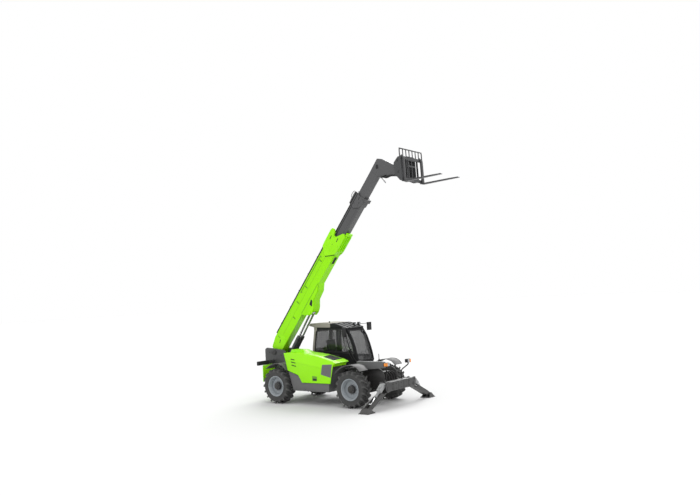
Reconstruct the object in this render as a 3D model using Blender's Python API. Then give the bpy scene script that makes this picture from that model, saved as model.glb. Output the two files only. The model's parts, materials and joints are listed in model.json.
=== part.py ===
"""A telehandler with a three-section boom, front stabilizers, a side engine pod and an offset cab.

Machine axes: +X forward, +Y to the machine's left, +Z up, metres. The empty `machine` stands under the
front axle, so every size below is measured from the front axle and the ground. Each moving piece is a
child of an empty on its joint's axis.
"""

import math

import bmesh
import bpy
from mathutils import Matrix, Vector

# ---- overall layout -------------------------------------------------------------------------------
FRONT_AXLE_X = 0.525        # front axle ahead of the origin, which is under the middle of the length
WHEELBASE = 3.07
TRACK_HALF = 0.99           # centre of a tyre from the machine's middle
GAP = 0.0003                # between pieces that touch
RUNNING = 0.0005            # between a bearing's faces
CLEAR = 0.006               # between pieces that move past each other

# ---- wheels and axles -----------------------------------------------------------------------------
TYRE_RADIUS = 0.57
TYRE_WIDTH = 0.40
RIM_RADIUS = 0.312
RIM_FLANGE = 0.336
RIM_WIDTH = 0.374
RIM_WALL = 0.014
DISC_INNER = 0.025          # inboard face of the wheel disc, outboard of the tyre's middle
DISC_THICK = 0.020
HUB_RADIUS = 0.122
HUB_STAND = 0.165           # end of the hub cap, outboard of the tyre's middle
KINGPIN_Y = 0.72
KNUCKLE_HALF = 0.115
AXLE_HALF_DEPTH = 0.08
SADDLE_Z = 0.70             # underside of the frame over the axles

# ---- chassis --------------------------------------------------------------------------------------
FRAME_INNER = 0.335
FRAME_PLATE = 0.030
FRAME_OUTER = FRAME_INNER + FRAME_PLATE
FRAME_LOW = 0.50
FRAME_TOP = 0.78
FRAME_FRONT = 0.835
NOSE_RADIUS = 0.25
NOSE_X = 0.50
NOSE_Z = 0.90
BELLY_PLATE = 0.015
ARCH_HALF = 0.21
TOWER_INNER = 0.27
TOWER_REAR = -4.30

# ---- boom -----------------------------------------------------------------------------------------
PIVOT_X = -3.85
PIVOT_Z = 1.60
BOOM_ANGLE = math.radians(51.4)
BOOM_WALL = 0.010
PIN_RADIUS = 0.044
PIN_HOLE = 0.0455
BASE_HALF = 0.150
BASE_LOW = -0.110
BASE_HIGH = 0.410
BASE_END = 4.72
MID_HALF = 0.125
MID_LOW = -0.085
MID_HIGH = 0.325
MID_START = 1.50
MID_END = 6.33
INNER_HALF = 0.105
INNER_LOW = -0.060
INNER_HIGH = 0.250
INNER_START = 3.20
HEAD_X = 7.738              # carriage pin, along the boom from its own pivot
HEAD_Z = -0.733             # and square to it
HEAD_BOSS = 0.090

# ---- lift cylinders -------------------------------------------------------------------------------
LIFT_X = -3.70
LIFT_Z = 0.98
LIFT_HALF = 0.095           # centre of each cylinder from the middle
LIFT_BARREL = 0.065
LIFT_ROD = 0.036
LIFT_EYE_X = 1.99           # rod eye, in the boom's own axes
LIFT_EYE_Z = -0.36
LIFT_LENGTH = 1.40
LIFT_ROD_LENGTH = 1.30

# ---- fork carriage --------------------------------------------------------------------------------
FORK_TILT = math.radians(2.0)
CARRIAGE_INNER = 0.20
CARRIAGE_PLATE = 0.025
FORK_FACE = 0.400
FORK_THICK = 0.045
FORK_LENGTH = 1.30
FORK_HALF = 0.06
FORK_Y = 0.517
FORK_LOW = -0.415
FORK_TOP = 0.36
FRAME_BAR_LOW = 0.29
FRAME_BAR_HIGH = 0.38
GUARD_TOP = 0.63
GUARD_HALF = 0.64

# ---- stabilizers ----------------------------------------------------------------------------------
LEG_X = 1.00
LEG_PIN_Y = 0.72
LEG_PIN_Z = 0.58
LEG_LENGTH = 1.08
ANKLE_Z = 0.125
LEG_HALF = 0.085
LEG_WALL = 0.012
BRACKET_PLATE = 0.025
JACK_OUT = 0.06             # upper pin of a stabilizer cylinder, from the leg's pin
JACK_UP = 0.14
JACK_FOOT = 0.84            # its lower pin, along the leg
JACK_BARREL = 0.042
JACK_ROD = 0.024
PAD_HALF = 0.18

# ---- cab ------------------------------------------------------------------------------------------
CAB_RIGHT = 0.235
CAB_LEFT = 1.165
CAB_FLOOR = 0.79
CAB_WALL = 0.045
GLASS = 0.006
WIND_CURVE = [(-0.690, 1.27), (-0.740, 1.52), (-0.820, 1.80), (-0.930, 2.08), (-1.090, 2.34)]
SILL_Z = 1.62
DOOR_REAR = -2.15
HINGE_RADIUS = 0.012

# ---- engine pod -----------------------------------------------------------------------------------
HOOD_OUTER = -1.11
HOOD_INNER = -0.42
HOOD_WALL = 0.012
HOOD_HINGE_Z = 1.60
HOOD_HINGE_Y = -0.395
SKIRT_LOW = 0.45
SKIRT_TOP = 0.705

ROUND = 28                  # facets round a wheel
SMALL_ROUND = 16            # facets round a pin or a tube


def clear_scene():
    for item in list(bpy.data.objects):
        bpy.data.objects.remove(item, do_unlink=True)


def paint(name, colour, roughness, metallic=0.0):
    shade = bpy.data.materials.new(name)
    shade.use_nodes = True
    shader = shade.node_tree.nodes["Principled BSDF"]
    shader.inputs["Base Color"].default_value = (*colour, 1.0)
    shader.inputs["Roughness"].default_value = roughness
    shader.inputs["Metallic"].default_value = metallic
    return shade


# ---- shapes: each function returns a closed mesh --------------------------------------------------

def finish_mesh(shape, name="shape"):
    bmesh.ops.recalc_face_normals(shape, faces=shape.faces)
    mesh = bpy.data.meshes.new(name)
    shape.to_mesh(mesh)
    shape.free()
    return mesh


def slab(outline, low, high, axis="Y"):
    """A flat outline given thickness: XZ outlines along Y, YZ along X, XY along Z."""
    place = {
        "Y": lambda u, v, w: (u, w, v),
        "X": lambda u, v, w: (w, u, v),
        "Z": lambda u, v, w: (u, v, w),
    }[axis]
    shape = bmesh.new()
    ends = []
    for level in (low, high):
        ends.append([shape.verts.new(place(u, v, level)) for u, v in outline])
    shape.faces.new(ends[0])
    shape.faces.new(ends[1])
    count = len(outline)
    for i in range(count):
        j = (i + 1) % count
        shape.faces.new((ends[0][i], ends[0][j], ends[1][j], ends[1][i]))
    return finish_mesh(shape)


def block(x, y, z):
    return slab([(x[0], z[0]), (x[1], z[0]), (x[1], z[1]), (x[0], z[1])], y[0], y[1])


def bar(start, end, radius, facets=SMALL_ROUND, end_radius=None):
    """A round bar between two points."""
    start, end = Vector(start), Vector(end)
    along = end - start
    shape = bmesh.new()
    turn = along.to_track_quat("Z", "Y").to_matrix().to_4x4()
    middle = Matrix.Translation((start + end) / 2)
    bmesh.ops.create_cone(
        shape, cap_ends=True, segments=facets, radius1=radius,
        radius2=radius if end_radius is None else end_radius,
        depth=along.length, matrix=middle @ turn,
    )
    return finish_mesh(shape)


def turned(profile, facets=ROUND):
    """A profile of (radius, y) points turned about Y; a radius of 0 closes it on the axis."""
    shape = bmesh.new()
    rings = []
    for radius, y in profile:
        if radius == 0:
            rings.append([shape.verts.new((0, y, 0))])
            continue
        ring = []
        for step in range(facets):
            angle = 2 * math.pi * step / facets
            ring.append(shape.verts.new((radius * math.cos(angle), y, radius * math.sin(angle))))
        rings.append(ring)
    closed = profile[0][0] != 0
    pairs = list(zip(rings, rings[1:]))
    if closed:
        pairs.append((rings[-1], rings[0]))
    for one, two in pairs:
        for step in range(facets):
            after = (step + 1) % facets
            corners = [one[step % len(one)], one[after % len(one)],
                       two[after % len(two)], two[step % len(two)]]
            shape.faces.new(list(dict.fromkeys(corners)))
    return finish_mesh(shape)


def swept(points, radius, facets=8):
    """A round tube along a smooth line through the points."""
    shape = bmesh.new()
    rings = []
    for i, point in enumerate(points):
        before = Vector(points[max(i - 1, 0)])
        after = Vector(points[min(i + 1, len(points) - 1)])
        turn = (after - before).to_track_quat("Z", "Y").to_matrix()
        ring = []
        for step in range(facets):
            angle = 2 * math.pi * step / facets
            offset = turn @ Vector((radius * math.cos(angle), radius * math.sin(angle), 0))
            ring.append(shape.verts.new(Vector(point) + offset))
        rings.append(ring)
    for one, two in zip(rings, rings[1:]):
        for step in range(facets):
            after = (step + 1) % facets
            shape.faces.new((one[step], one[after], two[after], two[step]))
    shape.faces.new(rings[0])
    shape.faces.new(rings[-1])
    return finish_mesh(shape)


def ring_box(x, half, z, wall_half, wall_z):
    """A rectangular ring round a boom section: outer half width and heights, inner ones."""
    outer = block(x, (-half, half), z)
    inner = block((x[0] - 0.01, x[1] + 0.01), (-wall_half, wall_half), wall_z)
    return combined([outer], [inner])


def arc(centre, radius, start, stop, steps):
    """Points along an arc in a plane, angles in degrees."""
    points = []
    for step in range(steps + 1):
        angle = math.radians(start + (stop - start) * step / steps)
        points.append((centre[0] + radius * math.cos(angle), centre[1] + radius * math.sin(angle)))
    return points


def inset(outline, distance):
    """The outline moved inwards by a distance, corner by corner."""
    area = 0.0
    count = len(outline)
    for i in range(count):
        (x0, y0), (x1, y1) = outline[i], outline[(i + 1) % count]
        area += x0 * y1 - x1 * y0
    turn = 1 if area > 0 else -1
    moved = []
    for i in range(count):
        before, here, after = outline[i - 1], outline[i], outline[(i + 1) % count]
        first = Vector((here[0] - before[0], here[1] - before[1])).normalized()
        second = Vector((after[0] - here[0], after[1] - here[1])).normalized()
        normal_1 = Vector((-first.y, first.x)) * turn
        normal_2 = Vector((-second.y, second.x)) * turn
        mean = (normal_1 + normal_2) / (1 + normal_1.dot(normal_2))
        moved.append((here[0] + mean.x * distance, here[1] + mean.y * distance))
    return moved


def combined(solids, cuts=()):
    """One mesh from solids joined together, with the cuts taken out."""
    helpers = [bpy.data.objects.new("helper", mesh) for mesh in (*solids, *cuts)]
    for helper in helpers:
        bpy.context.scene.collection.objects.link(helper)
    body = helpers[0]
    for number, helper in enumerate(helpers[1:], start=1):
        boolean = body.modifiers.new("boolean", "BOOLEAN")
        boolean.operation = "UNION" if number < len(solids) else "DIFFERENCE"
        boolean.solver = "EXACT"
        boolean.object = helper
    bpy.context.view_layer.update()
    evaluated = body.evaluated_get(bpy.context.evaluated_depsgraph_get())
    result = bpy.data.meshes.new_from_object(evaluated)
    for helper in helpers:
        bpy.data.objects.remove(helper, do_unlink=True)
    return result


def mirrored(mesh):
    """The same mesh on the other side of the machine's middle plane."""
    copy = mesh.copy()
    copy.transform(Matrix.Scale(-1, 4, (0, 1, 0)))
    copy.flip_normals()
    return copy


def sided(mesh, side):
    return mesh if side > 0 else mirrored(mesh)


# ---- placing --------------------------------------------------------------------------------------

def pivot(name, place, parent=None, turn_y=0.0, turn_x=0.0):
    """An empty on a joint's axis, at a place in its parent's axes."""
    empty = bpy.data.objects.new(name, None)
    empty.empty_display_size = 0.1
    bpy.context.scene.collection.objects.link(empty)
    empty.parent = parent
    empty.location = place
    empty.rotation_euler = (turn_x, turn_y, 0)
    return empty


def piece(name, mesh, shade, parent, smooth=False):
    mesh.name = name
    mesh.materials.clear()
    mesh.materials.append(shade)
    item = bpy.data.objects.new(name, mesh)
    bpy.context.scene.collection.objects.link(item)
    item.parent = parent
    if smooth:
        mesh.shade_smooth()
        mesh.set_sharp_from_angle(angle=math.radians(35))
    return item


SIDES = (("left", 1), ("right", -1))


def make_chassis(machine, shade):
    """Two long side plates with arches over the axles, cross plates and a belly plate."""
    rear = -WHEELBASE
    outline = [
        (TOWER_REAR + 0.35, 0.62), (rear - 0.28, 0.62), (rear - ARCH_HALF, SADDLE_Z),
        (rear + ARCH_HALF, SADDLE_Z), (rear + 0.28, FRAME_LOW), (-0.28, FRAME_LOW),
        (-ARCH_HALF, SADDLE_Z), (ARCH_HALF, SADDLE_Z), (0.28, FRAME_LOW),
        (FRAME_FRONT, FRAME_LOW), (FRAME_FRONT, 0.74), (NOSE_X + NOSE_RADIUS, 0.80),
        *arc((NOSE_X, NOSE_Z), NOSE_RADIUS, 0, 90, 6),
        (-0.45, NOSE_Z + NOSE_RADIUS), (-0.66, FRAME_TOP), (rear + 0.41, FRAME_TOP),
        (rear + 0.27, 0.95), (TOWER_REAR + 0.35, 0.95),
    ]
    plates = [slab(outline, side * FRAME_INNER, side * FRAME_OUTER) for _, side in SIDES]
    across = (-FRAME_INNER - 0.01, FRAME_INNER + 0.01)
    crosses = [
        block((rear + 0.30, -0.30), across, (FRAME_LOW, FRAME_LOW + BELLY_PLATE)),
        block((FRAME_FRONT - 0.03, FRAME_FRONT), across, (FRAME_LOW, 0.74)),
        block((-1.52, -1.49), across, (FRAME_LOW, FRAME_TOP - 0.02)),
        block((TOWER_REAR + 0.36, TOWER_REAR + 0.39), across, (0.64, 0.745)),
        bar((NOSE_X, across[0], NOSE_Z + 0.08), (NOSE_X, across[1], NOSE_Z + 0.08), 0.05),
    ]
    for axle in (0.0, rear):
        crosses.append(block((axle - ARCH_HALF, axle + ARCH_HALF), across, (SADDLE_Z, SADDLE_Z + 0.03)))
    piece("chassis_frame", combined(plates + crosses), shade, machine)


def make_tower(machine, shade):
    """Side plates that carry the boom's pivot pin, and the arms of the rear lights."""
    outline = [
        (-3.31, 0.76), (-3.31, 1.30), (-3.37, 1.62), (-3.46, 1.69), (TOWER_REAR + 0.08, 1.76),
        (TOWER_REAR, 1.70), (TOWER_REAR, 1.10), (TOWER_REAR + 0.30, 0.76),
    ]
    outer = FRAME_INNER - GAP
    solids = [slab(outline, side * TOWER_INNER, side * outer) for _, side in SIDES]
    across = (-TOWER_INNER - 0.01, TOWER_INNER + 0.01)
    solids.append(block((-4.02, -3.32), across, (0.76, 0.80)))
    solids.append(block((TOWER_REAR + 0.01, TOWER_REAR + 0.04), across, (1.12, 1.45)))
    solids.append(bar((PIVOT_X, across[0], PIVOT_Z), (PIVOT_X, across[1], PIVOT_Z), PIN_RADIUS))
    for _, side in SIDES:
        solids.append(block((-3.95, -3.87), sorted((side * (outer - 0.02), side * 1.12)), (1.23, 1.35)))
    piece("boom_tower", combined(solids), shade, machine)


def make_counterweight(machine, shade):
    outline = [
        (-3.83, 0.96), (-3.93, 0.88), (-4.20, 0.53), (-4.20, -0.53), (-3.93, -0.88), (-3.83, -0.96),
        (-3.83, -FRAME_OUTER - GAP), (-3.9503, -FRAME_OUTER - GAP), (-3.9503, FRAME_OUTER + GAP),
        (-3.83, FRAME_OUTER + GAP),
    ]
    mass = slab(outline, 0.66, 1.20, "Z")
    slot = block((TOWER_REAR, -3.80), (-FRAME_INNER, FRAME_INNER), (0.76 - GAP, 1.30))
    piece("counterweight", combined([mass], [slot]), shade, machine)


def make_axle(machine, name, axle_x, nose, shade):
    """A rigid axle: round centre housing, pinion nose, square tubes and a yoke at each end."""
    depth = AXLE_HALF_DEPTH
    edge = KNUCKLE_HALF + RUNNING
    solids = [
        block((-depth, depth), (-0.60, 0.60), (-depth, depth)),
        bar((0, -0.15, -0.05), (0, 0.15, -0.05), 0.17, 20),
        bar((0, 0, -0.03), (nose * 0.27, 0, -0.03), 0.065),
        block((-0.12, 0.12), (-0.14, 0.14), (0, SADDLE_Z - GAP - TYRE_RADIUS)),
    ]
    for _, side in SIDES:
        solids.append(block((-0.09, 0.09), sorted((side * 0.585, side * 0.62)), (-0.158, 0.158)))
        for up in (1, -1):
            level = sorted((up * edge, up * 0.165))
            solids.append(block((-0.07, 0.07), sorted((side * 0.60, side * 0.79)), level))
    mesh = combined(solids)
    mesh.transform(Matrix.Translation((axle_x, 0, TYRE_RADIUS)))
    piece(name, mesh, shade, machine)


def make_wheel(machine, end, axle_x, shades):
    """A knuckle on its kingpin, and the rim and tyre that turn on it."""
    half = TYRE_WIDTH / 2
    seat = RIM_RADIUS + GAP
    flange_in = RIM_WIDTH / 2 - 0.0115
    bead = flange_in - GAP
    tyre_profile = [
        (seat, -bead), (seat + 0.028, -bead), (0.40, -half + 0.008), (0.50, -half), (0.55, -half + 0.022),
        (TYRE_RADIUS, -half + 0.07), (TYRE_RADIUS, half - 0.07), (0.55, half - 0.022), (0.50, half),
        (0.40, half - 0.008), (seat + 0.028, bead), (seat, bead),
    ]
    bore = RIM_RADIUS - RIM_WALL
    rim_profile = [
        (0, HUB_STAND), (0.092, HUB_STAND - 0.004), (HUB_RADIUS - 0.004, HUB_STAND - 0.03),
        (HUB_RADIUS, DISC_INNER + DISC_THICK + 0.01), (bore - 0.01, DISC_INNER + DISC_THICK),
        (bore, RIM_WIDTH / 2), (RIM_FLANGE, RIM_WIDTH / 2), (RIM_FLANGE, flange_in),
        (RIM_RADIUS, flange_in), (RIM_RADIUS, -flange_in), (RIM_FLANGE, -flange_in),
        (RIM_FLANGE, -RIM_WIDTH / 2), (bore, -RIM_WIDTH / 2), (bore, DISC_INNER), (0, DISC_INNER),
    ]
    reach = TRACK_HALF + DISC_INNER - KINGPIN_Y - GAP
    knuckle = combined([
        bar((0, 0, -KNUCKLE_HALF), (0, 0, KNUCKLE_HALF), 0.052),
        bar((0, 0, 0), (0, 0.12, 0), 0.072),
        bar((0, 0.10, 0), (0, reach, 0), 0.105),
        block((-0.19, 0.0), (0.0, 0.035), (-0.025, 0.025)),
    ])
    for name, side in SIDES:
        kingpin = pivot(f"kingpin_{end}_{name}", (axle_x, side * KINGPIN_Y, TYRE_RADIUS), machine)
        piece(f"knuckle_{end}_{name}", sided(knuckle.copy(), side), shades["axle"], kingpin)
        hub = pivot(f"hub_{end}_{name}", (0, side * (TRACK_HALF - KINGPIN_Y), 0), kingpin)
        piece(f"tyre_{end}_{name}", sided(turned(tyre_profile), side), shades["tyre"], hub, True)
        piece(f"rim_{end}_{name}", sided(turned(rim_profile), side), shades["rim"], hub, True)


def make_fenders(machine, shade):
    """Arched mudguards carried on brackets from the frame."""
    arches = {
        "front": [(-0.55, 1.06), (-0.47, 1.15), (-0.33, 1.24), (-0.14, 1.305), (0.09, 1.325),
                  (0.28, 1.27), (0.41, 1.15)],
        "rear": [(-3.49, 1.14), (-3.36, 1.23), (-3.16, 1.30), (-2.95, 1.325), (-2.78, 1.27),
                 (-2.66, 1.18), (-2.61, 1.12)],
    }
    posts = {"front": ((-0.29, -0.23), 0.98, 1.257), "rear": ((-3.09, -3.03), 0.83, 1.305)}
    arm = (1.17, 1.20)
    for end, arch in arches.items():
        thick = 0.014
        under = [(x, z - thick) for x, z in reversed(arch)]
        span, low, high = posts[end]
        for name, side in SIDES:
            solids = [
                slab(arch + under, *sorted((side * 0.74, side * 1.18))),
                block(span, sorted((side * (FRAME_OUTER + GAP), side * 0.40)), (low, arm[1])),
                block(span, sorted((side * 0.38, side * 0.95)), arm),
                block(span, sorted((side * 0.86, side * 0.90)), (arm[0], high)),
            ]
            piece(f"fender_{end}_{name}", combined(solids), shade, machine)


def make_cab(machine, shades):
    """A hollow cab: lower tub and pillars, roof, glass, seat, console and a door on the left."""
    top_edge = [(-1.30, 2.385), (-2.50, 2.405)]
    outline = [(-2.30, CAB_FLOOR), (-0.97, CAB_FLOOR), (-0.74, 1.18), *WIND_CURVE, *top_edge,
               (-2.50, 2.30), (-2.60, 1.70), (-2.62, 1.20)]
    inner = inset(outline, CAB_WALL)

    def along_wind(back, low, high):
        """Points down the windscreen's curve, moved back from it, between two heights."""
        points = []
        for (x0, z0), (x1, z1) in zip(WIND_CURVE, WIND_CURVE[1:]):
            for z in (max(z0, low), min(z1, high)):
                if z0 <= z <= z1 and (not points or abs(z - points[-1][1]) > 1e-6):
                    points.append((x0 + (x1 - x0) * (z - z0) / (z1 - z0) - back, z))
        return points

    post = 0.075
    top = 2.325
    opening_right = [(-2.50, SILL_Z), *along_wind(post, SILL_Z - 0.05, top), (-2.26, top), (-2.40, 2.26)]
    opening_door = [(DOOR_REAR, 0.86), (-1.06, 0.86), (-0.86, 1.20), *along_wind(post, 1.30, top),
                    (DOOR_REAR, top)]
    opening_rear_left = [(-2.49, 1.68), (-2.25, 1.68), (-2.25, top), (-2.40, top)]
    wind_low, wind_high = 1.31, 2.26
    front_cut = along_wind(0.10, wind_low, wind_high) + list(reversed(along_wind(-0.1, wind_low, wind_high)))
    cuts = [
        slab(inner, CAB_RIGHT + CAB_WALL, CAB_LEFT - CAB_WALL),
        slab(opening_right, CAB_RIGHT - 0.02, CAB_RIGHT + CAB_WALL + 0.02),
        slab(opening_door, CAB_LEFT - CAB_WALL - 0.02, CAB_LEFT + 0.02),
        slab(opening_rear_left, CAB_LEFT - CAB_WALL - 0.02, CAB_LEFT + 0.02),
        slab(front_cut, CAB_RIGHT + 0.065, CAB_LEFT - 0.065),
        block((-2.70, -2.40), (CAB_RIGHT + 0.09, CAB_LEFT - 0.09), (1.68, 2.25)),
    ]
    hinge_y = CAB_LEFT + 0.02
    hinge_x = DOOR_REAR - 0.02
    solids = [slab(outline, CAB_RIGHT, CAB_LEFT)]
    hinge_levels = (1.05, 2.10)
    for level in hinge_levels:
        solids.append(bar((hinge_x, hinge_y, level - 0.06), (hinge_x, hinge_y, level), HINGE_RADIUS, 12))
        solids.append(block((hinge_x - 0.03, hinge_x), (CAB_LEFT - 0.01, hinge_y), (level - 0.06, level)))
    piece("cab_body", combined(solids, cuts), shades["cab"], machine)

    under = [(x, z + GAP) for x, z in reversed((WIND_CURVE[-1], *top_edge))]
    roof = [(-1.075, 2.36), (-1.17, 2.388), (-1.57, 2.508), (-1.85, 2.545), (-2.20, 2.56),
            (-2.60, 2.545), (-2.81, 2.515), (-2.76, 2.47), (-2.58, 2.43), *under]
    piece("cab_roof", slab(roof, CAB_RIGHT - 0.01, CAB_LEFT + 0.01), shades["roof"], machine)

    glass = shades["glass"]
    face = 0.012
    wind = along_wind(face, wind_low + GAP, wind_high - GAP)
    behind = along_wind(face + GLASS, wind_low + GAP, wind_high - GAP)
    piece("windscreen", slab(wind + list(reversed(behind)), CAB_RIGHT + 0.065 + GAP, CAB_LEFT - 0.065 - GAP),
          glass, machine)
    piece("right_window", slab(inset(opening_right, GAP), CAB_RIGHT + 0.01, CAB_RIGHT + 0.01 + GLASS),
          glass, machine)
    piece("rear_quarter_window",
          slab(inset(opening_rear_left, GAP), CAB_LEFT - 0.01 - GLASS, CAB_LEFT - 0.01), glass, machine)
    rear_pane = [(-2.581, 1.6803), (-2.575, 1.6803), (-2.49, 2.2497), (-2.496, 2.2497)]
    piece("rear_window", slab(rear_pane, CAB_RIGHT + 0.09 + GAP, CAB_LEFT - 0.09 - GAP), glass, machine)

    floor = CAB_FLOOR + CAB_WALL + GAP
    seat = [
        block((-2.05, -1.65), (0.50, 0.90), (floor, 1.22)),
        slab([(-2.14, 1.20), (-1.58, 1.20), (-1.56, 1.34), (-2.10, 1.32)], 0.45, 0.95),
        slab([(-2.16, 1.24), (-2.02, 1.24), (-2.12, 2.0), (-2.24, 1.98)], 0.47, 0.93),
    ]
    piece("driver_seat", combined(seat), shades["seat"], machine)
    wheel = bmesh.new()
    bmesh.ops.create_circle(wheel, segments=10, radius=0.014,
                            matrix=Matrix.Translation((0.18, 0, 0)) @ Matrix.Rotation(math.pi / 2, 4, "X"))
    bmesh.ops.spin(wheel, geom=wheel.verts[:] + wheel.edges[:], cent=(0, 0, 0), axis=(0, 0, 1),
                   angle=2 * math.pi, steps=20, use_merge=True)
    bmesh.ops.remove_doubles(wheel, verts=wheel.verts, dist=0.0001)
    tilt = Matrix.Translation((-1.36, 0.70, 1.56)) @ Matrix.Rotation(math.radians(-28), 4, "Y")
    bmesh.ops.transform(wheel, matrix=tilt, verts=wheel.verts)
    hub = tilt @ Vector((0, 0, 0))
    spokes = [bar(hub, tilt @ Vector((0.18 * math.cos(a), 0.18 * math.sin(a), 0)), 0.011, 8)
              for a in (math.radians(90), math.radians(210), math.radians(330))]
    console = [
        block((-1.17, -1.05), (0.48, 0.92), (floor, 1.20)),
        slab([(-1.20, 1.16), (-0.90, 1.16), (-0.88, 1.30), (-1.10, 1.38)], 0.35, 1.05),
        bar((-1.12, 0.70, 1.10), hub + Vector((-0.01, 0, 0.01)), 0.03, 12),
        finish_mesh(wheel), *spokes,
    ]
    piece("steering_console", combined(console), shades["trim"], machine)

    hinge = pivot("door_hinge", (hinge_x, hinge_y, 0), machine)
    frame = inset(opening_door, CLEAR)
    window = [(DOOR_REAR + 0.075, 1.42), *along_wind(post + 0.07, 1.42, top - 0.07),
              (DOOR_REAR + 0.075, top - 0.07)]
    low_pane = [(DOOR_REAR + 0.075, 0.95), (-1.12, 0.95), (-0.97, 1.22), (-0.94, 1.34),
                (DOOR_REAR + 0.075, 1.34)]
    panel = (CAB_LEFT - 0.040, CAB_LEFT)
    shift = Matrix.Translation((-hinge_x, -hinge_y, 0))
    door = [slab(frame, *panel)]
    for level in hinge_levels:
        base = level + RUNNING
        door.append(bar((hinge_x, hinge_y, base), (hinge_x, hinge_y, base + 0.06), HINGE_RADIUS, 12))
        door.append(block((hinge_x, hinge_x + 0.06), (CAB_LEFT + CLEAR, hinge_y), (base, base + 0.06)))
        door.append(block((hinge_x + 0.035, hinge_x + 0.058), (CAB_LEFT - 0.02, hinge_y - 0.002),
                          (base + 0.002, base + 0.058)))
    mesh = combined(door, [slab(window, 1.0, 1.3), slab(low_pane, 1.14, 1.3)])
    mesh.transform(shift)
    piece("cab_door", mesh, shades["door"], hinge)
    pane = slab(inset(window, GAP), CAB_LEFT - 0.024, CAB_LEFT - 0.018)
    pane.transform(shift)
    piece("door_window", pane, glass, hinge)

    roof_side = CAB_LEFT + 0.01
    mirror = combined([
        block((-1.43, -1.37), (roof_side + GAP, roof_side + 0.025), (2.40, 2.44)),
        swept([(-1.40, roof_side + 0.015, 2.42), (-1.25, 1.25, 2.46), (-1.02, 1.28, 2.47), (-0.95, 1.29, 2.44),
               (-0.93, 1.29, 2.36)], 0.009),
        block((-0.965, -0.895), (1.20, 1.38), (2.24, 2.51)),
    ])
    piece("cab_mirror", mirror, shades["trim"], machine)


def make_left_tank(machine, shade):
    """Fuel and oil tank under the cab, with two steps let into its side."""
    tank = block((-2.26, -0.96), (FRAME_OUTER + GAP, 1.12), (0.46, CAB_FLOOR - GAP))
    steps = [block((-1.75, -1.20), (0.96, 1.20), (0.52, 0.64)),
             block((-1.75, -1.20), (1.00, 1.20), (0.67, 0.80))]
    piece("left_tank", combined([tank], steps), shade, machine)


def make_engine_pod(machine, shades):
    """Tray, bulkheads and skirt of the engine bay, the engine, and the cover that hinges up."""
    inner = -FRAME_OUTER - GAP
    wall = (-0.392, -0.378)
    solids = [
        block((-2.30, -0.90), (-1.06, inner), (SKIRT_LOW, SKIRT_LOW + 0.015)),
        slab([(-2.36, SKIRT_LOW), (-0.87, SKIRT_LOW), (-0.87, SKIRT_TOP), (-1.97, SKIRT_TOP),
              (-2.13, 0.93), (-2.50, 1.06), (-2.54, 1.02)], -1.09, -1.05),
        block((-0.90, -0.88), (-1.08, inner), (SKIRT_LOW, 1.20)),
        block((-2.30, -2.28), (-0.90, inner), (SKIRT_LOW, 1.02)),
        slab([(-2.30, SKIRT_LOW), (-0.88, SKIRT_LOW), (-0.88, 1.34), (-1.55, 1.50), (-1.60, 1.585),
              (-2.55, 1.585), (-2.55, 0.98), (-2.30, 0.80)], wall[0], wall[1]),
        block((-2.29, -0.89), (wall[0] + 0.002, inner), (SKIRT_LOW + 0.002, SKIRT_LOW + 0.10)),
    ]
    spans = ((-2.45, -2.30), (-1.90, -1.75))
    for start, stop in spans:
        solids.append(bar((start, HOOD_HINGE_Y, HOOD_HINGE_Z), (stop, HOOD_HINGE_Y, HOOD_HINGE_Z),
                          HINGE_RADIUS, 12))
        solids.append(block((start, stop), (wall[0], wall[1]), (1.55, HOOD_HINGE_Z)))
    piece("engine_bay", combined(solids), shades["skirt"], machine)

    engine = block((-1.95, -1.10), (-0.95, -0.50), (SKIRT_LOW + 0.015 + GAP, 1.18))
    piece("engine_block", engine, shades["axle"], machine)

    side = [(-2.72, 1.655), (-2.56, 1.10), (-2.12, 0.962), (-1.96, 0.72), (-0.80, 0.72), (-0.66, 1.31),
            (-0.56, 1.36), (-0.70, 1.425), (-1.35, 1.575), (-2.05, 1.66)]
    solid = slab(side, HOOD_OUTER, HOOD_INNER)
    hollow = slab(inset(side, HOOD_WALL), HOOD_OUTER + HOOD_WALL, HOOD_INNER - HOOD_WALL)
    under = slab([(-2.54, 0.60), (-0.70, 0.60), (-0.70, 0.75), (-1.92, 0.75), (-2.07, 0.99), (-2.50, 1.13)],
                 HOOD_OUTER + HOOD_WALL, HOOD_INNER + 0.02)
    front = block((-0.92, -0.40), (HOOD_OUTER + HOOD_WALL, HOOD_INNER + 0.02), (0.60, 1.25))
    inboard = block((-2.53, -0.90), (HOOD_INNER - HOOD_WALL - 0.01, HOOD_INNER + 0.02), (0.60, 1.30))
    bump = slab([(-2.70, 1.64), (-1.95, 1.63), (-2.22, 1.74), (-2.64, 1.745)], -0.80, HOOD_INNER)
    knuckles = []
    for start, stop in spans:
        run = (stop + RUNNING, stop + 0.13)
        knuckles.append(bar((run[0], HOOD_HINGE_Y, HOOD_HINGE_Z), (run[1], HOOD_HINGE_Y, HOOD_HINGE_Z),
                            HINGE_RADIUS, 12))
        knuckles.append(block(run, (HOOD_INNER - 0.006, HOOD_HINGE_Y), (HOOD_HINGE_Z - 0.01, HOOD_HINGE_Z)))
    mesh = combined([solid, bump, *knuckles], [hollow, under, front, inboard])
    mesh.transform(Matrix.Translation((0, -HOOD_HINGE_Y, -HOOD_HINGE_Z)))
    hinge = pivot("hood_hinge", (0, HOOD_HINGE_Y, HOOD_HINGE_Z), machine)
    piece("engine_hood", mesh, shades["lime"], hinge)


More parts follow.
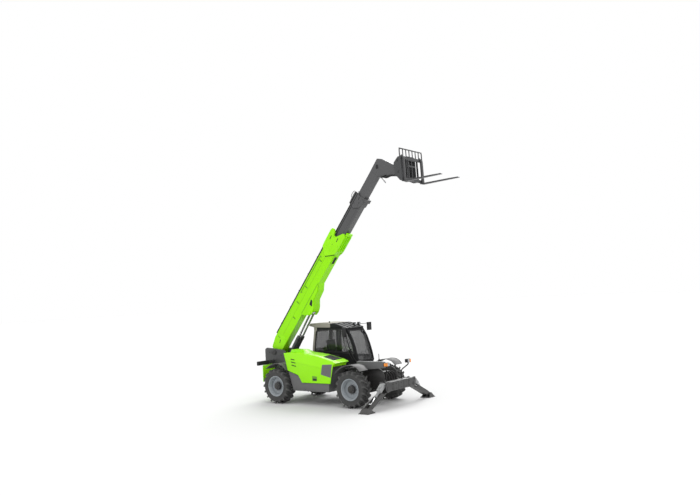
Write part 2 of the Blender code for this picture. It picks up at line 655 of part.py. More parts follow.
def make_boom(machine, shades):
    """Three box sections that slide in each other, the head and the twin lift cylinders."""
    root = pivot("boom_pivot", (PIVOT_X, 0, PIVOT_Z), machine, turn_y=-BOOM_ANGLE)
    tail = [
        (0.12, BASE_LOW), (BASE_END, BASE_LOW), (BASE_END, BASE_HIGH), (0.34, BASE_HIGH + 0.005),
        (-0.02, 0.33), (-0.13, 0.05), (-0.10, -0.07), (-0.02, BASE_LOW - 0.01),
    ]
    cavity = block((0.14, BASE_END + 0.1), (-BASE_HALF + BOOM_WALL, BASE_HALF - BOOM_WALL),
                   (BASE_LOW + BOOM_WALL, BASE_HIGH - BOOM_WALL))
    tube = combined([slab(tail, -BASE_HALF, BASE_HALF)], [cavity])
    reach = TOWER_INNER - RUNNING
    pivot_tube = bar((0, -reach, 0), (0, reach, 0), 0.085)
    pivot_hole = bar((0, -1, 0), (0, 1, 0), PIN_HOLE, 32)
    slip = RUNNING
    collar = ring_box((4.30, BASE_END), BASE_HALF + 0.035, (BASE_LOW - 0.035, BASE_HIGH + 0.05),
                      BASE_HALF - 0.002, (BASE_LOW + 0.002, BASE_HIGH - 0.002))
    pads = ring_box((4.50, BASE_END - 0.02), BASE_HALF - 0.002, (BASE_LOW + 0.002, BASE_HIGH - 0.002),
                    MID_HALF + slip, (MID_LOW - slip, MID_HIGH + slip))
    nose = block((BASE_END - 0.05, 5.05), (-0.14, 0.14), (BASE_LOW - 0.035, BASE_LOW - 0.005))
    bracket_shape = [(1.72, -0.09), (1.80, -0.26), (1.93, -0.43), (2.06, -0.46), (2.22, -0.42),
                     (2.46, -0.25), (2.80, -0.22), (3.02, -0.09)]
    brackets = [slab(bracket_shape, *sorted((s * (BASE_HALF - 0.004), s * (BASE_HALF + 0.026))))
                for _, s in SIDES]
    heads = [bar((LIFT_EYE_X, s * (BASE_HALF + 0.02), LIFT_EYE_Z), (LIFT_EYE_X, s * 0.192, LIFT_EYE_Z), 0.055)
             for _, s in SIDES]
    base = combined([tube, pivot_tube, collar, pads, nose, *brackets, *heads], [pivot_hole])
    piece("boom_base", base, shades["lime"], root)

    mid_slide = pivot("boom_mid_slide", (0, 0, 0), root)
    mid_outer = block((MID_START, MID_END), (-MID_HALF, MID_HALF), (MID_LOW, MID_HIGH))
    mid_cavity = block((MID_START - 0.1, MID_END + 0.1), (-MID_HALF + BOOM_WALL, MID_HALF - BOOM_WALL),
                       (MID_LOW + BOOM_WALL, MID_HIGH - BOOM_WALL))
    mid_tube = combined([mid_outer], [mid_cavity])
    mid_collar = ring_box((6.04, MID_END), MID_HALF + 0.025, (MID_LOW - 0.02, MID_HIGH + 0.045),
                          MID_HALF - 0.002, (MID_LOW + 0.002, MID_HIGH - 0.002))
    mid_pads = ring_box((6.12, MID_END - 0.02), MID_HALF - 0.002, (MID_LOW + 0.002, MID_HIGH - 0.002),
                        INNER_HALF + slip, (INNER_LOW - slip, INNER_HIGH + slip))
    piece("boom_mid", combined([mid_tube, mid_collar, mid_pads]), shades["boom_grey"], mid_slide)

    inner_slide = pivot("boom_inner_slide", (0, 0, 0), mid_slide)
    inner_outer = block((INNER_START, 7.30), (-INNER_HALF, INNER_HALF), (INNER_LOW, INNER_HIGH))
    inner_cavity = block((INNER_START - 0.1, 7.05), (-INNER_HALF + BOOM_WALL, INNER_HALF - BOOM_WALL),
                         (INNER_LOW + BOOM_WALL, INNER_HIGH - BOOM_WALL))
    neck = [
        (7.145, INNER_LOW), (7.20, -0.13), (7.36, -0.29), (7.63, -0.70),
        *arc((HEAD_X, HEAD_Z), HEAD_BOSS, 170, 360, 7),
        (7.80, -0.40), (7.72, 0.10), (7.64, 0.262), (7.27, INNER_HIGH + 0.005), (7.10, INNER_HIGH),
    ]
    head_reach = CARRIAGE_INNER - RUNNING
    inner = combined([
        combined([inner_outer], [inner_cavity]), slab(neck, -INNER_HALF + 0.0002, INNER_HALF - 0.0002),
        bar((HEAD_X, -head_reach, HEAD_Z), (HEAD_X, head_reach, HEAD_Z), 0.07),
    ], [bar((HEAD_X, -1, HEAD_Z), (HEAD_X, 1, HEAD_Z), 0.0335, 32)])
    piece("boom_inner", inner, shades["boom_grey"], inner_slide)
    return root, inner_slide


def make_lift(machine, shades):
    """Twin lift cylinders: barrels on one pin in the tower, rods on one cross pin."""
    eye = (PIVOT_X + LIFT_EYE_X * math.cos(BOOM_ANGLE) - LIFT_EYE_Z * math.sin(BOOM_ANGLE),
           PIVOT_Z + LIFT_EYE_X * math.sin(BOOM_ANGLE) + LIFT_EYE_Z * math.cos(BOOM_ANGLE))
    length = math.hypot(eye[0] - LIFT_X, eye[1] - LIFT_Z)
    angle = math.atan2(eye[1] - LIFT_Z, eye[0] - LIFT_X)
    base = pivot("lift_pivot", (LIFT_X, 0, LIFT_Z), machine, turn_y=-angle)
    ends = TOWER_INNER - RUNNING
    solids = [bar((0, -ends, 0), (0, ends, 0), 0.035)]
    bores = []
    for _, side in SIDES:
        y = side * LIFT_HALF
        solids.append(bar((0.05, y, 0), (LIFT_LENGTH, y, 0), LIFT_BARREL))
        solids.append(bar((0, y - 0.045, 0), (0, y + 0.045, 0), 0.068))
        solids.append(block((0, 0.10), (y - 0.04, y + 0.04), (-0.05, 0.05)))
        bores.append(bar((0.45, y, 0), (LIFT_LENGTH + 0.1, y, 0), LIFT_ROD + RUNNING))
    solids.append(block((1.00, 1.06), (-LIFT_HALF, LIFT_HALF), (-0.03, 0.03)))
    piece("lift_barrels", combined(solids, bores), shades["cylinder"], base)

    slide = pivot("lift_slide", (length, 0, 0), base)
    rods = [bar((0, -0.14, 0), (0, 0.14, 0), 0.026)]
    for _, side in SIDES:
        y = side * LIFT_HALF
        rods.append(bar((-LIFT_ROD_LENGTH, y, 0), (-0.02, y, 0), LIFT_ROD))
        rods.append(bar((0, y - 0.04, 0), (0, y + 0.04, 0), 0.052))
    piece("lift_rods", combined(rods), shades["chrome"], slide)


def make_carriage(inner_slide, shades):
    """The fork frame on the boom's head: side plates, bars, load guard and two forks."""
    tilt = pivot("carriage_pivot", (HEAD_X, 0, HEAD_Z), inner_slide, turn_y=BOOM_ANGLE - FORK_TILT)
    plate = [(-0.11, 0.10), (-0.14, 0.24), (-0.12, 0.31), (0.03, 0.46), (0.12, 0.47), (0.37, 0.36),
             (0.37, -0.38), (0.27, -0.38), (0.05, -0.27), (-0.09, -0.09)]
    back = (0.352, FORK_FACE - GAP)
    solids = [slab(plate, *sorted((s * CARRIAGE_INNER, s * (CARRIAGE_INNER + CARRIAGE_PLATE))))
              for _, s in SIDES]
    solids += [
        block(back, (-GUARD_HALF, GUARD_HALF), (FRAME_BAR_LOW, FRAME_BAR_HIGH)),
        block(back, (-GUARD_HALF, GUARD_HALF), (-0.37, -0.28)),
        block((0.362, 0.390), (-0.21, 0.21), (-0.30, 0.30)),
        bar((0, -0.215, 0), (0, 0.215, 0), 0.032),
        bar((0.376, -GUARD_HALF + 0.01, GUARD_TOP - 0.02), (0.376, GUARD_HALF - 0.01, GUARD_TOP - 0.02), 0.02, 8),
    ]
    for s in (-1, 1):
        solids.append(block((0.356, 0.396), sorted((s * (GUARD_HALF - 0.04), s * GUARD_HALF)), (-0.29, 0.30)))
    for number in range(8):
        y = -GUARD_HALF + 0.012 + number * (2 * GUARD_HALF - 0.024) / 7
        solids.append(block((0.366, 0.386), (y - 0.012, y + 0.012), (FRAME_BAR_HIGH - 0.02, GUARD_TOP - 0.015)))
    piece("fork_carriage", combined(solids), shades["carriage"], tilt)
    tip = FORK_FACE + FORK_LENGTH
    blade = FORK_LOW + FORK_THICK
    fork = [
        (FORK_FACE, FORK_LOW + 0.02), (FORK_FACE + 0.02, FORK_LOW), (tip - 0.03, FORK_LOW + 0.012),
        (tip, FORK_LOW + 0.020), (tip - 0.02, blade - 0.006), (tip - 0.30, blade),
        (FORK_FACE + FORK_THICK, blade), (FORK_FACE + FORK_THICK, FORK_TOP - 0.05),
        (FORK_FACE + FORK_THICK - 0.015, FORK_TOP), (FORK_FACE, FORK_TOP),
    ]
    for name, side in SIDES:
        y = side * FORK_Y
        piece(f"fork_{name}", slab(fork, y - FORK_HALF, y + FORK_HALF), shades["fork"], tilt)


def make_stabilizers(machine, shades):
    """The cross beam, and on each end a swinging leg with its cylinder and foot pad."""
    front, back = LEG_X + 0.12, LEG_X - 0.12
    beam = [block((FRAME_FRONT + GAP, front), (-0.58, 0.58), (0.50, 0.76))]
    ears = [(0.52, 0.51), (0.74, 0.47), (0.81, 0.53), (0.845, 0.64), (0.83, 0.77), (0.78, 0.79),
            (0.68, 0.78), (0.56, 0.74)]
    for _, side in SIDES:
        outline = [(side * y, z) for y, z in ears]
        pin = side * LEG_PIN_Y
        jack = side * (LEG_PIN_Y + JACK_OUT)
        for low, high in ((back, back + BRACKET_PLATE), (front - BRACKET_PLATE, front)):
            beam.append(slab(outline, low, high, "X"))
        beam.append(bar((back, pin, LEG_PIN_Z), (front, pin, LEG_PIN_Z), 0.030))
        beam.append(bar((back, jack, LEG_PIN_Z + JACK_UP), (front, jack, LEG_PIN_Z + JACK_UP), 0.0195))
    piece("stabilizer_beam", combined(beam), shades["leg"], machine)

    drop = math.asin((LEG_PIN_Z - ANKLE_Z) / LEG_LENGTH)
    boss = 0.12 - BRACKET_PLATE - RUNNING
    floor = -0.095
    inner_wall = LEG_HALF - LEG_WALL
    ankle_end = LEG_LENGTH + 0.03
    wall = [(0.0, floor), (0.95, floor), (ankle_end, -0.035), (ankle_end + 0.015, 0.0),
            (ankle_end - 0.01, 0.035), (0.95, 0.055), (0.30, 0.055), (0.21, -0.052), (0.0, -0.058)]
    leg = combined(
        [
            *[slab(wall, *sorted((s * inner_wall, s * LEG_HALF)), "X") for s in (-1, 1)],
            block((-inner_wall - 0.005, inner_wall + 0.005), (0.002, 0.948), (floor + 0.0005, floor + LEG_WALL)),
            block((-LEG_HALF + 0.0005, LEG_HALF - 0.0005), (-0.02, 0.20), (floor + 0.001, -0.064)),
            bar((-boss, 0, 0), (boss, 0, 0), 0.062),
            bar((-LEG_HALF, LEG_LENGTH, 0), (LEG_HALF, LEG_LENGTH, 0), 0.0155, 12),
        ],
        [bar((-1, 0, 0), (1, 0, 0), 0.0315, 32)],
    )
    foot = (JACK_FOOT * math.cos(drop), -JACK_FOOT * math.sin(drop))
    span = (foot[0] - JACK_OUT, foot[1] - JACK_UP)
    length = math.hypot(*span)
    jack_angle = math.atan2(span[1], span[0])
    barrel_end = 0.55
    barrel = combined(
        [
            bar((0, 0, 0), (0, barrel_end, 0), JACK_BARREL),
            bar((-boss, 0, 0), (boss, 0, 0), 0.034),
        ],
        [bar((-1, 0, 0), (1, 0, 0), 0.021, 24),
         bar((0, 0.08, 0), (0, barrel_end + 0.1, 0), JACK_ROD + RUNNING)],
    )
    rod_eye = inner_wall - CLEAR
    rod = combined([
        bar((0, -0.52, 0), (0, 0, 0), JACK_ROD),
        bar((-rod_eye, 0, 0), (rod_eye, 0, 0), 0.034),
    ])
    pad = combined([
        slab([(-PAD_HALF, 0 - ANKLE_Z), (PAD_HALF, -ANKLE_Z), (PAD_HALF, 0.014 - ANKLE_Z),
              (0.075, 0.035 - ANKLE_Z), (0.034, -0.012), (0.020, 0.018), (-0.020, 0.018),
              (-0.034, -0.012), (-0.075, 0.035 - ANKLE_Z), (-PAD_HALF, 0.014 - ANKLE_Z)],
             -0.030, 0.030, "X"),
        block((-PAD_HALF, PAD_HALF), (-PAD_HALF, PAD_HALF), (-ANKLE_Z, 0.016 - ANKLE_Z)),
    ], [bar((-1, 0, 0), (1, 0, 0), 0.0165, 16)])
    for name, side in SIDES:
        at = (LEG_X, side * LEG_PIN_Y, LEG_PIN_Z)
        hinge = pivot(f"leg_pivot_{name}", at, machine, turn_x=-side * drop)
        piece(f"leg_{name}", sided(leg.copy(), side), shades["leg"], hinge)
        ankle = pivot(f"ankle_{name}", (0, side * LEG_LENGTH, 0), hinge, turn_x=side * drop)
        piece(f"pad_{name}", sided(pad.copy(), side), shades["leg"], ankle)
        upper = (LEG_X, side * (LEG_PIN_Y + JACK_OUT), LEG_PIN_Z + JACK_UP)
        jack = pivot(f"jack_pivot_{name}", upper, machine, turn_x=side * jack_angle)
        piece(f"jack_barrel_{name}", sided(barrel.copy(), side), shades["cylinder"], jack)
        slide = pivot(f"jack_slide_{name}", (0, side * length, 0), jack)
        piece(f"jack_rod_{name}", sided(rod.copy(), side), shades["chrome"], slide)


def make_front_details(machine, shades):
    """The valve cover on the right rail, and a lamp on a stalk at each front corner."""
    cover = [(-0.20, 1.08), (0.83, 1.17), (0.83, 1.35), (0.81, 1.37), (-0.18, 1.37), (-0.20, 1.35)]
    piece("valve_cover", slab(cover, -0.50, -FRAME_OUTER - GAP), shades["fender"], machine)
    for name, side in SIDES:
        stalk = [(0.87, side * 0.42, 0.76 + GAP), (0.87, side * 0.42, 0.98), (0.89, side * 0.45, 1.05),
                 (0.98, side * 0.56, 1.15), (1.02, side * 0.60, 1.20), (1.02, side * 0.60, 1.27)]
        lamp = combined([
            swept(stalk, 0.014),
            block((0.96, 1.07), sorted((side * 0.51, side * 0.69)), (1.245, 1.355)),
        ])
        piece(f"front_lamp_{name}", lamp, shades["trim"], machine)


def main():
    clear_scene()
    shades = {
        "lime": paint("lime_paint", (0.36, 0.90, 0.03), 0.35),
        "frame": paint("frame_paint", (0.045, 0.045, 0.048), 0.5),
        "axle": paint("axle_paint", (0.03, 0.03, 0.032), 0.55),
        "tower": paint("tower_paint", (0.075, 0.075, 0.08), 0.5),
        "boom_grey": paint("boom_grey_paint", (0.09, 0.09, 0.095), 0.45),
        "carriage": paint("carriage_paint", (0.05, 0.05, 0.052), 0.5),
        "fork": paint("fork_steel", (0.04, 0.04, 0.042), 0.45),
        "leg": paint("leg_paint", (0.085, 0.09, 0.09), 0.5),
        "cylinder": paint("cylinder_paint", (0.05, 0.05, 0.052), 0.4),
        "chrome": paint("chrome_rod", (0.8, 0.8, 0.8), 0.12, 1.0),
        "tyre": paint("tyre_rubber", (0.03, 0.03, 0.03), 0.85),
        "rim": paint("rim_paint", (0.28, 0.32, 0.35), 0.45),
        "fender": paint("fender_plastic", (0.09, 0.09, 0.092), 0.6),
        "skirt": paint("skirt_paint", (0.11, 0.11, 0.118), 0.5),
        "cab": paint("cab_paint", (0.02, 0.02, 0.022), 0.45),
        "roof": paint("roof_plastic", (0.42, 0.38, 0.36), 0.55),
        "door": paint("door_paint", (0.02, 0.02, 0.022), 0.45),
        "glass": paint("cab_glass", (0.10, 0.11, 0.11), 0.05),
        "seat": paint("seat_vinyl", (0.02, 0.02, 0.02), 0.8),
        "trim": paint("trim_plastic", (0.03, 0.03, 0.03), 0.6),
    }
    machine = pivot("machine", (FRONT_AXLE_X, 0, 0))
    make_chassis(machine, shades["frame"])
    make_tower(machine, shades["tower"])
    make_counterweight(machine, shades["lime"])
    make_axle(machine, "front_axle", 0.0, -1, shades["axle"])
    make_axle(machine, "rear_axle", -WHEELBASE, 1, shades["axle"])
    make_wheel(machine, "front", 0.0, shades)
    make_wheel(machine, "rear", -WHEELBASE, shades)
    make_fenders(machine, shades["fender"])
    make_cab(machine, shades)
    make_left_tank(machine, shades["skirt"])
    make_engine_pod(machine, shades)
    _, inner_slide = make_boom(machine, shades)
    make_lift(machine, shades)
    make_carriage(inner_slide, shades)
    make_stabilizers(machine, shades)
    make_front_details(machine, shades)


main()
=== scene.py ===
import json
import math

import bmesh
import bpy
from mathutils import Matrix, Vector

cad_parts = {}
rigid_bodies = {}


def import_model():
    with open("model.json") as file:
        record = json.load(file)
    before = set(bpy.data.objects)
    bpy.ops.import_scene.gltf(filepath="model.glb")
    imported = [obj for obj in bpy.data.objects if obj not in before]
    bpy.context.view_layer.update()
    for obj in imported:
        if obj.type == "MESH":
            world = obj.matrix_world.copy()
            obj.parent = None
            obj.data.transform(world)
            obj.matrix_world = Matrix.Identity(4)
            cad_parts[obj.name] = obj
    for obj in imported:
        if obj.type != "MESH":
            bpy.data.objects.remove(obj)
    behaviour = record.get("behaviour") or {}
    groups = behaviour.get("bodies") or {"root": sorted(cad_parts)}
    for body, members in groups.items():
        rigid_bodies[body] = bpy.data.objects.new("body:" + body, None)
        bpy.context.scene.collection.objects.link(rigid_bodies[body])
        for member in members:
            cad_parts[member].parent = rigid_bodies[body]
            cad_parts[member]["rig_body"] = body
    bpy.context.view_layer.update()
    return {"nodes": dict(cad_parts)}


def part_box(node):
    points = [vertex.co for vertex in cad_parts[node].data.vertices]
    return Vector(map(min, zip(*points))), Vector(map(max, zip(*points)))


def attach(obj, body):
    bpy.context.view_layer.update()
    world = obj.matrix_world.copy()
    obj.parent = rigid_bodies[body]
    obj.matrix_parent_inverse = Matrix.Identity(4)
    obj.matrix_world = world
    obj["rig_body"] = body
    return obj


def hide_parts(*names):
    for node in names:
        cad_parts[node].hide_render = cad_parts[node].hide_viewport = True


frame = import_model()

# ---- Studio -----------------------------------------------------------------------------------------
# A plain white studio: a pale floor that runs out of sight, an even white dome, and two very broad
# lamps, one high on the machine's left and one lower on its right. The camera stands well back.
scene = bpy.context.scene
scene.view_settings.view_transform = "Standard"
front_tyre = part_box("tyre_front_right")
front_axle_x = (front_tyre[0][0] + front_tyre[1][0]) / 2
machine = Matrix.Translation((front_axle_x, 0, 0))
# Places on the machine that several sections share, in metres from the front axle, the middle and the
# ground.
pivot_x, pivot_z = -3.85, 1.60
tower_face_y = 0.3347
wheel_y, wheel_z = 0.99, 0.57
rear_axle_x = -3.07
hip_x, hip_y, hip_z = 1.00, 0.72, 0.58
jack_top_y, jack_top_z = 0.78, 0.72
fork_y = 0.517

camera_right = Vector((0.7949, 0.6047, -0.0487)).normalized()
camera_back = Vector((0.6018, -0.7962, -0.0627)).normalized()
camera_up = camera_back.cross(camera_right).normalized()
camera_right = camera_up.cross(camera_back)
camera = bpy.data.objects.new("camera", bpy.data.cameras.new("camera"))
camera.data.lens = 37.60
camera.data.sensor_width = 36.0
camera.data.clip_end = 400
view_turn = Matrix((camera_right, camera_up, camera_back)).transposed().to_4x4()
camera.matrix_world = Matrix.Translation((front_axle_x + 13.778, -19.031, 3.508)) @ view_turn
scene.collection.objects.link(camera)
scene.camera = camera

world = bpy.data.worlds.new("studio_dome")
world.use_nodes = True
world.node_tree.nodes["Background"].inputs["Color"].default_value = (1, 1, 1, 1)
world.node_tree.nodes["Background"].inputs["Strength"].default_value = 1.0
scene.world = world
for name, direction, spread_angle, power in (
    ("high_lamp", (-0.50, 1.25, 1.20), 42, 2.45), ("side_lamp", (0.50, -1.00, 0.45), 120, 1.15),
):
    lamp = bpy.data.objects.new(name, bpy.data.lights.new(name, "SUN"))
    lamp.data.energy = power
    lamp.data.angle = math.radians(spread_angle)
    lamp.rotation_euler = Vector(direction).to_track_quat("Z", "Y").to_euler()
    scene.collection.objects.link(lamp)


class Value:
    """A shader socket that takes part in sums, so that mask * 2 adds its own Math node."""

    def __init__(self, tree, socket):
        self.tree, self.socket = tree, socket

    def math(self, operation, first, second):
        node = self.tree.nodes.new("ShaderNodeMath")
        node.operation = operation
        for place, value in zip(node.inputs, (first, second)):
            if isinstance(value, Value):
                self.tree.links.new(value.socket, place)
            else:
                place.default_value = value
        return Value(self.tree, node.outputs[0])

    def __add__(self, other):
        return self.math("ADD", self, other)

    def __sub__(self, other):
        return self.math("SUBTRACT", self, other)

    def __mul__(self, other):
        return self.math("MULTIPLY", self, other)

    def __pow__(self, other):
        return self.math("POWER", self, other)

    def __gt__(self, other):
        return self.math("GREATER_THAN", self, other)

    def __lt__(self, other):
        return self.math("LESS_THAN", self, other)

    __radd__ = __add__


class Finish:
    """A material while it is put together: its shader, and one method that adds any other node."""

    def __init__(self, name, **sockets):
        self.material = bpy.data.materials.new(name)
        self.material.use_nodes = True
        self.tree = self.material.node_tree
        self.shader = self.tree.nodes["Principled BSDF"]
        self.set(self.shader, sockets)

    def set(self, node, sockets):
        for name, value in sockets.items():
            place = node.inputs[name if isinstance(name, int) else name.replace("_", " ")]
            if isinstance(value, Value):
                self.tree.links.new(value.socket, place)
            elif place.type == "RGBA":
                place.default_value = (*value, 1.0)
            else:
                place.default_value = value

    def node(self, kind, output, settings=None, inputs=None):
        node = self.tree.nodes.new(kind)
        for name, value in (settings or {}).items():
            setattr(node, name, value)
        self.set(node, inputs or {})
        return Value(self.tree, node.outputs[output])

    def place(self, spot=(0, 0, 0), turn=0.0, stretch=(1, 1, 1)):
        """Object coordinates, moved, turned about Y and stretched to suit a pattern."""
        point = self.node("ShaderNodeTexCoord", "Object")
        return self.node("ShaderNodeMapping", "Vector", {"vector_type": "TEXTURE"}, {
            "Vector": point, "Location": spot, "Rotation": (0, turn, 0), "Scale": stretch})

    def noise(self, scale, detail=2.0, stretch=(1, 1, 1)):
        return self.node("ShaderNodeTexNoise", "Fac", None, {
            "Vector": self.place(stretch=stretch), "Scale": scale, "Detail": detail})

    def axis(self, name, spot=(0, 0, 0), turn=0.0):
        return self.node("ShaderNodeSeparateXYZ", name, None, {"Vector": self.place(spot, turn)})

    def ramp(self, value, low, high, start=0.0, end=1.0):
        return self.node("ShaderNodeMapRange", 0, {"clamp": True}, {
            "Value": value, "From_Min": low, "From_Max": high, "To_Min": start, "To_Max": end})

    def blend(self, factor, first, second):
        """A colour between two others. A colour is three numbers or another blend."""
        return self.node("ShaderNodeMix", 2, {"data_type": "RGBA"}, {
            0: factor, 6: first, 7: second})

    def surface(self, colour, roughness, height=None, distance=0.001):
        self.set(self.shader, {"Base_Color": colour, "Roughness": roughness})
        if height is not None:
            self.set(self.shader, {"Normal": self.node("ShaderNodeBump", "Normal", None, {
                "Height": height, "Distance": distance, "Strength": 1.0})})
        return self.material


studio_floor = Finish("studio_floor", Roughness=0.9, Base_Color=(0.62, 0.62, 0.62), Specular_IOR_Level=0.0)
reach = 160.0
floor_mesh = bpy.data.meshes.new("studio_floor")
floor_mesh.from_pydata([(-reach, -reach, 0), (reach, -reach, 0), (reach, reach, 0), (-reach, reach, 0)],
                       [], [(0, 1, 2, 3)])
floor_mesh.materials.append(studio_floor.material)
floor = bpy.data.objects.new("studio_floor", floor_mesh)
scene.collection.objects.link(floor)


# ---- Frame, tower, axles and beams -------------------------------------------------------------------
# Flame-cut steel plate, welded up and sprayed dark grey. Each piece keeps the shape it is cut to, with
# its edges ground down a few millimetres so that they catch the light.
def painted(name, colour, roughness=0.42, dust=0.10, peel=0.00025, **sockets):
    """Sprayed paint: fine orange peel, patchy gloss, and road dust that thins out with height."""
    paint = Finish(name, **sockets)
    broad = paint.noise(1.7, 3.0)
    fine = paint.noise(38.0, 4.0)
    dusty = paint.ramp(paint.axis("Z"), 0.2, 1.9, 1.0, 0.12) * (fine ** 2.0) * (dust * 3.0)
    tone = paint.blend(broad, tuple(c * 0.90 for c in colour), tuple(c * 1.12 + 0.002 for c in colour))
    tone = paint.blend(dusty, tone, (0.23, 0.21, 0.185))
    return paint.surface(tone, roughness + (broad - 0.5) * 0.16 + dusty * 0.5, paint.noise(420.0, 1.0), peel)


def settled(thing):
    """The mesh that an object has once its modifiers have run."""
    graph = bpy.context.evaluated_depsgraph_get()
    return bpy.data.meshes.new_from_object(thing.evaluated_get(graph))


def fitted(name, mesh, shade, body, bevel=0.0, angle=32):
    """Gives a mesh its finish and eased edges, and puts it on its body."""
    mesh.materials.clear()
    mesh.materials.append(shade)
    mesh.shade_smooth()
    piece = bpy.data.objects.new(name, mesh)
    scene.collection.objects.link(piece)
    if bevel:
        ease = piece.modifiers.new("eased_edges", "BEVEL")
        ease.width = bevel
        ease.segments = 2
        ease.limit_method = "ANGLE"
        ease.angle_limit = math.radians(angle)
        ease.harden_normals = True
        piece.data = settled(piece)
        piece.modifiers.clear()
    else:
        mesh.set_sharp_from_angle(angle=math.radians(angle))
    piece.data.name = name
    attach(piece, body)
    return piece


def eased(node, shade, bevel=0.004):
    """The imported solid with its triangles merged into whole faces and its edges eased."""
    copy = frame["nodes"][node].data.copy()
    shape = bmesh.new()
    shape.from_mesh(copy)
    bmesh.ops.remove_doubles(shape, verts=shape.verts, dist=0.00002)
    bmesh.ops.dissolve_limit(shape, angle_limit=math.radians(1.0), verts=shape.verts, edges=shape.edges)
    shape.to_mesh(copy)
    shape.free()
    piece = fitted(node + "_finished", copy, shade, frame["nodes"][node]["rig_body"], bevel)
    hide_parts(node)
    return piece


frame_grey = painted("frame_dark_grey", (0.011, 0.011, 0.012), 0.46)
tower_grey = painted("tower_grey", (0.033, 0.034, 0.036), 0.42)
skirt_grey = painted("skirt_grey", (0.084, 0.085, 0.088), 0.42)
axle_black = painted("axle_black", (0.018, 0.018, 0.019), 0.50, dust=0.10)
for node, shade in (
    ("chassis_frame", frame_grey), ("boom_tower", tower_grey), ("front_axle", axle_black),
    ("rear_axle", axle_black), ("stabilizer_beam", tower_grey), ("engine_bay", skirt_grey),
):
    eased(node, shade)


def solid(shape, place=Matrix()):
    """A mesh from a bmesh, faces outwards, put in its place."""
    bmesh.ops.remove_doubles(shape, verts=shape.verts, dist=0.00001)
    bmesh.ops.recalc_face_normals(shape, faces=shape.faces)
    shape.transform(place)
    mesh = bpy.data.meshes.new("shape")
    shape.to_mesh(mesh)
    shape.free()
    return mesh


def joined(meshes):
    shape = bmesh.new()
    for mesh in meshes:
        shape.from_mesh(mesh)
        bpy.data.meshes.remove(mesh)
    mesh = bpy.data.meshes.new("joined")
    shape.to_mesh(mesh)
    shape.free()
    return mesh


along_axis = {"Y": lambda u, v, w: (u, w, v), "X": lambda u, v, w: (w, u, v), "Z": lambda u, v, w: (u, v, w)}


def plate(outline, low, high, axis="Y", place=machine):
    """A flat plate: XZ outlines along Y, YZ along X, XY along Z."""
    shape = bmesh.new()
    ends = [[shape.verts.new(along_axis[axis](u, v, level)) for u, v in outline] for level in (low, high)]
    shape.faces.new(ends[0])
    shape.faces.new(ends[1])
    for i in range(len(outline)):
        shape.faces.new((ends[0][i - 1], ends[0][i], ends[1][i], ends[1][i - 1]))
    return solid(shape, place)


def block(x, y, z, place=machine):
    return plate([(x[0], z[0]), (x[1], z[0]), (x[1], z[1]), (x[0], z[1])], y[0], y[1], "Y", place)


def turned(profile, steps, place=machine):
    """A shape turned about its own Y axis from (radius, y) points; radius 0 closes it on the axis."""
    shape = bmesh.new()
    rings = []
    for radius, y in profile:
        count = steps if radius else 1
        rings.append([shape.verts.new((radius * math.cos(2 * math.pi * k / steps), y,
                                       radius * math.sin(2 * math.pi * k / steps))) for k in range(count)])
    pairs = list(zip(rings, rings[1:]))
    if profile[0][0]:
        pairs.append((rings[-1], rings[0]))
    for one, two in pairs:
        for k in range(steps):
            after = (k + 1) % steps
            corners = [one[k % len(one)], one[after % len(one)], two[after % len(two)], two[k % len(two)]]
            shape.faces.new(list(dict.fromkeys(corners)))
    return solid(shape, place)


def rod(start, end, radius, place=machine, steps=20, chamfer=0.15):
    """A round bar between two points, with a small chamfer at each end."""
    start, end = Vector(start), Vector(end)
    length = (end - start).length
    cut = min(radius * chamfer, length * 0.2)
    turn = (end - start).to_track_quat("Y", "Z").to_matrix().to_4x4()
    profile = [(0, 0), (radius - cut, 0), (radius, cut), (radius, length - cut), (radius - cut, length),
               (0, length)]
    return turned(profile, steps, place @ Matrix.Translation(start) @ turn)


def tube(points, radius, place=machine, steps=10, smooth=5):
    """A bent tube or hose along a smooth line through the points."""
    points = [Vector(p) for p in points]
    line = []
    for i in range(len(points) - 1):
        a, b = points[max(i - 1, 0)], points[i]
        c, d = points[i + 1], points[min(i + 2, len(points) - 1)]
        for k in range(smooth):
            t = k / smooth
            line.append(0.5 * (2 * b + (c - a) * t + (2 * a - 5 * b + 4 * c - d) * t * t
                               + (3 * b - a - 3 * c + d) * t ** 3))
    line.append(points[-1])
    shape = bmesh.new()
    rings = []
    across = None
    for i, point in enumerate(line):
        ahead = (line[min(i + 1, len(line) - 1)] - line[max(i - 1, 0)]).normalized()
        across = ahead.orthogonal() if across is None else across - ahead * across.dot(ahead)
        across.normalize()
        other = ahead.cross(across)
        rings.append([shape.verts.new(point + radius * (across * math.cos(2 * math.pi * k / steps)
                                                        + other * math.sin(2 * math.pi * k / steps)))
                      for k in range(steps)])
    for one, two in zip(rings, rings[1:]):
        for k in range(steps):
            shape.faces.new((one[k - 1], one[k], two[k], two[k - 1]))
    shape.faces.new(rings[0])
    shape.faces.new(rings[-1])
    return solid(shape, place)


def on_side(side, near, far):
    """Two distances from the middle, on the left for side 1 and the right for side -1, in rising order."""
    return sorted((side * near, side * far))


def mirrored(mesh, side):
    """The mesh itself, or for side -1 a copy on the machine's other side."""
    copy = mesh.copy()
    if side < 0:
        copy.transform(Matrix.Scale(-1, 4, (0, 1, 0)))
        copy.flip_normals()
    return copy


